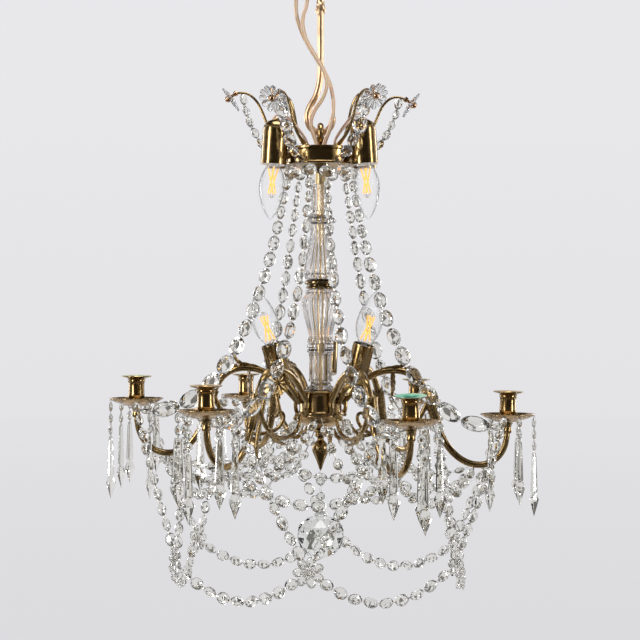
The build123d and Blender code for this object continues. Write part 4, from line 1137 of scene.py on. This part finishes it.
class CHANDELIER_OT_arms(bpy.types.Operator):
    """Bends the candle arms and dresses them with cast leaves, scrolls and flower bosses"""
    bl_idname = "chandelier.arms"
    bl_label = "Arms"

    def execute(self, context):
        leaves, scrolls = [], []
        nut = [(AXIS, -16), (4.5, -16), (6.2, -12), (4.6, -8), (5.8, -3), (9, -0.4), (AXIS, -0.4)]
        for i, (azimuth, tip) in enumerate(dish_seats()):
            lift = tip - ARM_TIP_Z
            line = rounded(side_route(ARM, azimuth, lift), 7)
            radii = [0.0040 + 0.0007 * math.sin(math.pi * t) for t in taper(len(line), 0, 1)]
            arm = [swept(line, radii, 18), turned(nut, polar(ARM_REACH, azimuth, tip), steps=4)]
            piece(f"candle_arm_{i + 1}_bent", join(arm), brass(), f"candle_arm_{i + 1}", 50)
            leaves += [blade(route, azimuth, half, 0.6, lobes, lift) for route, half, lobes in ARM_LEAVES]
            leaves += [self.calyx_leaf(azimuth, lift, turn) for turn in around(6)]
            line = rounded(side_route(SCROLL, azimuth, lift), 7)
            scrolls.append(swept(line, [0.0033 - 0.0013 * k / len(line) for k in range(len(line))]))
            scrolls.append(moved(ball(3, 8, 14), side_route(SCROLL[-1:], azimuth, lift)[0]))
            scrolls += [blade(route, azimuth, half, 0.5, lobes, lift) for route, half, lobes in SCROLL_LEAVES]
        piece("arm_leaf_castings", join(leaves), cast_brass(), "arm_leaves", 60)
        piece("arm_scroll_bars", join(scrolls), cast_brass(), "arm_scrolls", 60)
        self.bosses()
        return {"FINISHED"}

    def bosses(self):
        """The flowers and the stems that carry them, told apart by the size of their solids."""
        flowers, stems = [], []
        for seat in seats("arm_bosses"):
            wide, thin = seat.spans[0] / MM, seat.spans[2] / MM
            if 70 < seat.corners < 200 and wide > 17:
                out = seat.outward()
                flowers.append(moved(glass_flower(9, seat.spans[0] / 2, seat.spans[2]), seat.middle, out))
                flowers.append(moved(ball(3.4, 8, 16), Vector(seat.middle) + out * 0.0012, out))
            if wide > 25 or wide < 17 and thin < 4.5:
                low, high, _ = seat.ends()
                stems.append(swept([low, (low + high) / 2, high], 0.0019, 12))
        piece("arm_boss_flowers", join(flowers + stems), cast_brass(), "arm_bosses", 50)

    def calyx_leaf(self, azimuth, lift, turn):
        """One of the leaves that clasp the arm where it turns down."""
        line = rounded(side_route(CALYX, azimuth, lift), 8)
        corners, steps = [], 6
        for t, p, across, out in leaf_rows(line, azimuth):
            ring = 0.0050 + 0.0022 * (1 - t) ** 2 + 0.0006 * math.sin(math.pi * t)
            spread = 0.62 * math.sin(math.pi * (0.12 + 0.80 * t)) ** 0.8
            spread *= 0.85 + 0.25 * abs(math.sin(3 * math.pi * t))
            for layer in (0.0006, -0.0004):
                for u in taper(steps + 1, -1, 1):
                    a = turn + u * spread
                    far = ring + layer + 0.0005 * (1 - abs(u))
                    corners.append(p + (across * math.sin(a) + out * math.cos(a)) * far)
        return np.array(corners), leaf_faces(len(line), steps)


class CHANDELIER_OT_dishes(bpy.types.Operator):
    """Spins the drip dishes and the candle cups with their stained rims"""
    bl_idname = "chandelier.dishes"
    bl_label = "Dishes and candle cups"

    def execute(self, context):
        r, deep, wall = 36.6, 11, 1.3
        dish = rounded([
            (AXIS, 0), (10, 0), (18, 0.8), (0.56 * r, 2.6), (0.82 * r, 5.6), (0.97 * r, 9.4), (r, 10),
            (r, deep), (r - 0.6, deep)], 5)
        dish += rounded([
            (r - 1.4, deep), (0.94 * r, 9.8), (0.80 * r, 5.6 + wall), (0.60 * r, 3.6 + wall),
            (0.55 * r, 2.6 + wall), (14, wall), (AXIS, wall)], 5)
        cup = rounded(CUP, 4) + [(9.6, CUP_TALL - 3), (CUP_BORE, CUP_TALL - 6), (CUP_BORE, 10), (AXIS, 10)]
        rim = [(r, CUP_TALL + z) for r, z in CUP_RIM]
        dishes, cups, rims = [], [], []
        for (azimuth, tip), (right, forwards) in zip(dish_seats(), CUP_LEANS):
            lean = Vector((math.sin(math.radians(right)), -math.sin(math.radians(forwards)), 1))
            at = polar(ARM_REACH, azimuth, tip)
            dishes.append(turned(dish, at, sides=72))
            cups.append(turned(cup, at + UP * 0.0014, lean, 64))
            rims.append(turned(rim, at + UP * 0.0014, lean, 64, loop=True))
        piece("drip_dishes", join(dishes), brown_brass(), "bobeches", 40)
        piece("candle_cup_bodies", join(cups), brass(), "candle_cups", 34)
        piece("candle_cup_green_rim", rims.pop(GREEN_CUP), stained("green brass", 0.36), crease=34)
        piece("candle_cup_rims", join(rims), stained("stained brass", 0.08), crease=34)
        return {"FINISHED"}


class CHANDELIER_OT_strings(bpy.types.Operator):
    """Threads the strings, festoons and swags of cut beads"""
    bl_idname = "chandelier.strings"
    bl_label = "Bead strings"

    def execute(self, context):
        for node, (wider, longer) in STRINGS.items():
            random.seed(node)
            links, found = links_and_glass(node)
            beads = [self.bead(seat, wider, longer) for seat in found if seat.corners < BEAD_CORNERS]
            piece(f"{node}_beads", join(beads), crystal(), node)
            piece(f"{node}_links", links, link_wire(), crease=50)
        petals, hearts = [], []
        button = [(AXIS, -3), (4.2, -2), (4.4, 2.6), (2.2, 5.2), (AXIS, 5.4)]
        for seat in seats("swag_rosettes"):
            if seat.corners < BEAD_CORNERS:
                petals.append(laid(cut_bead(), seat, grow=1.04))
            else:
                flower = glass_flower(8, seat.spans[0] / 2 * 1.02, seat.spans[2] * 1.1)
                hearts.append(moved(flower, seat.middle, seat.outward()))
                hearts.append(turned(button, seat.middle, seat.outward(), 10, 3))
        piece("swag_flower_petals", join(petals), crystal(), "swag_rosettes")
        piece("swag_flower_hearts", join(hearts), crystal(), crease=30)
        return {"FINISHED"}

    def bead(self, seat, wider, longer):
        """A bead on its string, turned a little about the string."""
        turn = math.radians(random.uniform(-24, 24))
        wide, thin = seat.axes[1], seat.axes[2]
        seat.axes[1] = wide * math.cos(turn) + thin * math.sin(turn)
        seat.axes[2] = thin * math.cos(turn) - wide * math.sin(turn)
        seat.spans[0] += longer
        seat.spans[1] *= wider
        seat.spans[2] = max(1.12 * seat.spans[2], 0.74 * seat.spans[1])
        return laid(cut_bead(), seat, grow=1.02)


class CHANDELIER_OT_drops(bpy.types.Operator):
    """Cuts the spear drops and the octagons that they hang from"""
    bl_idname = "chandelier.drops"
    bl_label = "Drops"

    def execute(self, context):
        bodies = {"prisms": "chandelier"} | {f"outer_prism_{k}": f"drop_{k}" for k in range(1, ARMS + 1)}
        for node, body in bodies.items():
            random.seed(node)
            links, found = links_and_glass(node)
            glass = []
            for seat in found:
                if seat.corners < OCTAGON_CORNERS:
                    seat.spans[2] *= 1.1
                    glass.append(laid(cut_bead(), seat))
                else:
                    glass.append(self.spear(seat))
            piece(f"{node}_cut", join(glass), crystal(), node, body=body)
            piece(f"{node}_links", links, link_wire(), crease=50, body=body)
        return {"FINISHED"}

    def spear(self, seat):
        """A spear drop, turned a little about its length. Those far to the sides are turned further."""
        if seat.axes[0][2] < 0:
            seat.axes[0] = -seat.axes[0]
        seat.spans[2] = max(seat.spans[2], 0.72 * seat.spans[1])
        turn = random.uniform(-0.5, 0.5) + (1.1 if abs(seat.middle[0]) > 0.21 else 0)
        seat.axes[2] = np.cross(seat.axes[0], (math.cos(turn), math.sin(turn), 0.0))
        seat.axes[2] /= np.linalg.norm(seat.axes[2])
        seat.axes[1] = np.cross(seat.axes[2], seat.axes[0])
        return laid(spear_form(), seat, (1, 2, 0))


class CHANDELIER_OT_ball(bpy.types.Operator):
    """Cuts the large ball, its cone and the beads that it hangs from"""
    bl_idname = "chandelier.ball"
    bl_label = "Ball"

    def execute(self, context):
        links, found = links_and_glass("crystal_ball")
        glass, cone = [], [(AXIS, 0), (8, 0), (8.6, 1.2), (6.6, 5), (3.4, 11.5), (AXIS, 12)]
        for seat in found:
            if seat.spans[0] / MM > 40:
                glass.append(self.sphere(seat))
            elif seat.corners == BALL_BEAD_CORNERS:
                seat.spans[2] *= 1.2
                glass.append(laid(cut_bead(), seat))
            else:
                glass.append(turned(cone, seat.ends()[0], sides=24, steps=4, flutes=12, depth=0.1))
        finish = clear_glass("ball crystal", (0.865, 0.88, 0.84), 1.52)
        piece("ball_cut", join(glass), finish, "crystal_ball", body="ball_pendant")
        piece("ball_links", links, link_wire(), crease=50, body="ball_pendant")
        return {"FINISHED"}

    def sphere(self, seat):
        """A ball with rows of staggered facets, broad in the shoulder."""
        low, high = seat.points.min(0), seat.points.max(0)
        r = (high[0] - low[0]) / 2
        rows, sides = 6, 10
        corners, faces = [(0, 0, -r)], []
        for j in range(1, rows):
            a = math.pi * (j / rows - 0.5)
            wide = 1.08 * r * math.cos(a) ** 0.85 * (1 + 0.05 * math.sin(a))
            tall = r * math.sin(a) * (0.94 if a > 0 else 1)
            corners += [(wide * math.cos(t), wide * math.sin(t), tall) for t in around(sides, 0.5 * (j % 2))]
        top, last = len(corners), len(corners) - sides
        corners.append((0, 0, 0.93 * r))
        for k in range(sides):
            n = (k + 1) % sides
            faces += [(0, 1 + n, 1 + k), (top, last + k, last + n)]
            for j in range(1, rows - 1):
                b = 1 + j * sides
                a = b - sides
                if j % 2:
                    faces += [(a + k, a + n, b + n), (a + k, b + n, b + k)]
                else:
                    faces += [(a + k, a + n, b + k), (a + n, b + n, b + k)]
        return np.array(corners) + (low + high) / 2, faces


class CHANDELIER_OT_stage(bpy.types.Operator):
    """Lights a plain pale studio with soft boxes, and lays its floor"""
    bl_idname = "chandelier.stage"
    bl_label = "Stage"

    def execute(self, context):
        self.world(context)
        corners, _ = lathed([(AXIS, FLOOR_Z / MM), (3000, FLOOR_Z / MM), (30000, FLOOR_Z / MM)], 64)
        shown("Floor", mesh_of("Floor", (corners, bands(3, 64)), floor_paint("floor paint")))
        self.flags()
        for name, place, watts, width, height in SOFT_BOXES:
            data = bpy.data.lights.new(name, "AREA")
            data.shape = "RECTANGLE"
            data.size = width
            data.size_y = height
            data.energy = watts
            lamp = shown(name, data, place)
            lamp.rotation_euler = (LIGHTS_FACE - Vector(place)).to_track_quat("-Z", "Y").to_euler()
            lamp.visible_transmission = name == "Key strip"
        context.scene.view_settings.view_transform = "Standard"
        return {"FINISHED"}

    def world(self, context):
        """A pale wall that lightens upwards where it shows, and a darker room for the light it sheds."""
        world = bpy.data.worlds.new("Studio")
        context.scene.world = world
        world.use_nodes = True
        tree = world.node_tree
        up = add(tree, "SeparateXYZ", {"Vector": add(tree, "TexCoord", {}, "Generated")}, "Z")
        height = add(tree, "MapRange", {"From Min": -0.25, "From Max": 0.20, "Value": up}, "Result")
        pale = colours().backdrop
        wall = ramp(tree, height, [(0.1, toned(pale, 0.935)), (0.9, toned(pale, 1.02))])
        tone = add(tree, "Mix", {"Factor": seen(tree), "A": (0.36, 0.36, 0.37, 1), "B": wall}, "Result",
                   data_type="RGBA")
        fill(tree.nodes["Background"], {"Color": tone})

    def flags(self):
        """Cards out of the camera's sight: dark ones for metal to mirror, grey ones seen through glass."""
        roof = self.disc(2.3, 24)
        dark = [self.card(*place, -2.2, 1.9) for place in DARK_CARDS] + [roof, self.disc(-2.24, 13)]
        grey = [self.card(*place, -2.0, 1.5) for place in GREY_CARDS] + [roof]
        for name, cards, tone in (("Dark flags", dark, (0.055, 0.050, 0.043)),
                                  ("Grey flags", grey, (0.32, 0.31, 0.285))):
            flags = shown(name, mesh_of(name, join(cards), dull(name.lower(), tone, 0.9, 40)))
            flags.visible_camera = flags.visible_shadow = flags.visible_diffuse = False
            flags.visible_transmission = name == "Grey flags"
            flags.visible_glossy = name == "Dark flags"

    def card(self, middle, half, low, high):
        """An upright card that bends round the set."""
        ring = [math.radians(a) for a in taper(13, middle - half, middle + half)]
        corners = [(CARD_RADIUS * math.sin(a), -CARD_RADIUS * math.cos(a), z)
                   for a in ring for z in (low, high)]
        return corners, [(2 * k, 2 * k + 2, 2 * k + 3, 2 * k + 1) for k in range(12)]

    def disc(self, z, count):
        """A level card: round with 24 corners, or its front half with 13."""
        ring = [math.radians(15 * k - 90) for k in range(count)]
        corners = [(DISC_RADIUS * math.sin(a), -DISC_RADIUS * math.cos(a), z) for a in ring]
        return corners, [tuple(range(count))]


OPERATORS = [
    CHANDELIER_OT_camera, CHANDELIER_OT_leads, CHANDELIER_OT_hanger, CHANDELIER_OT_crown,
    CHANDELIER_OT_rosettes, CHANDELIER_OT_sockets, CHANDELIER_OT_lamps, CHANDELIER_OT_column,
    CHANDELIER_OT_hub, CHANDELIER_OT_arms, CHANDELIER_OT_dishes, CHANDELIER_OT_strings,
    CHANDELIER_OT_drops, CHANDELIER_OT_ball, CHANDELIER_OT_stage,
]


class CHANDELIER_PT_panel(bpy.types.Panel):
    """Lists the pieces and their sizes"""
    bl_label = "Chandelier"
    bl_idname = "CHANDELIER_PT_panel"
    bl_space_type = "VIEW_3D"
    bl_region_type = "UI"
    bl_category = "Chandelier"

    def draw(self, context):
        layout = self.layout
        for group in (context.scene.chandelier_sizes, context.scene.chandelier_colours):
            for name in group.__annotations__:
                layout.prop(group, name)
        for operator in OPERATORS:
            layout.operator(operator.bl_idname)


CLASSES = [ChandelierSizes, ChandelierColours, *OPERATORS, CHANDELIER_PT_panel]


def register():
    for cls in CLASSES:
        bpy.utils.register_class(cls)
    bpy.types.Scene.chandelier_sizes = bpy.props.PointerProperty(type=ChandelierSizes)
    bpy.types.Scene.chandelier_colours = bpy.props.PointerProperty(type=ChandelierColours)


def unregister():
    del bpy.types.Scene.chandelier_colours
    del bpy.types.Scene.chandelier_sizes
    for cls in reversed(CLASSES):
        bpy.utils.unregister_class(cls)


def main():
    register()
    for step in ("camera", "leads", "hanger", "crown", "rosettes", "sockets", "lamps", "column", "hub",
                 "arms", "dishes", "strings", "drops", "ball", "stage"):
        getattr(bpy.ops.chandelier, step)()


if __name__ == "__main__":
    main()
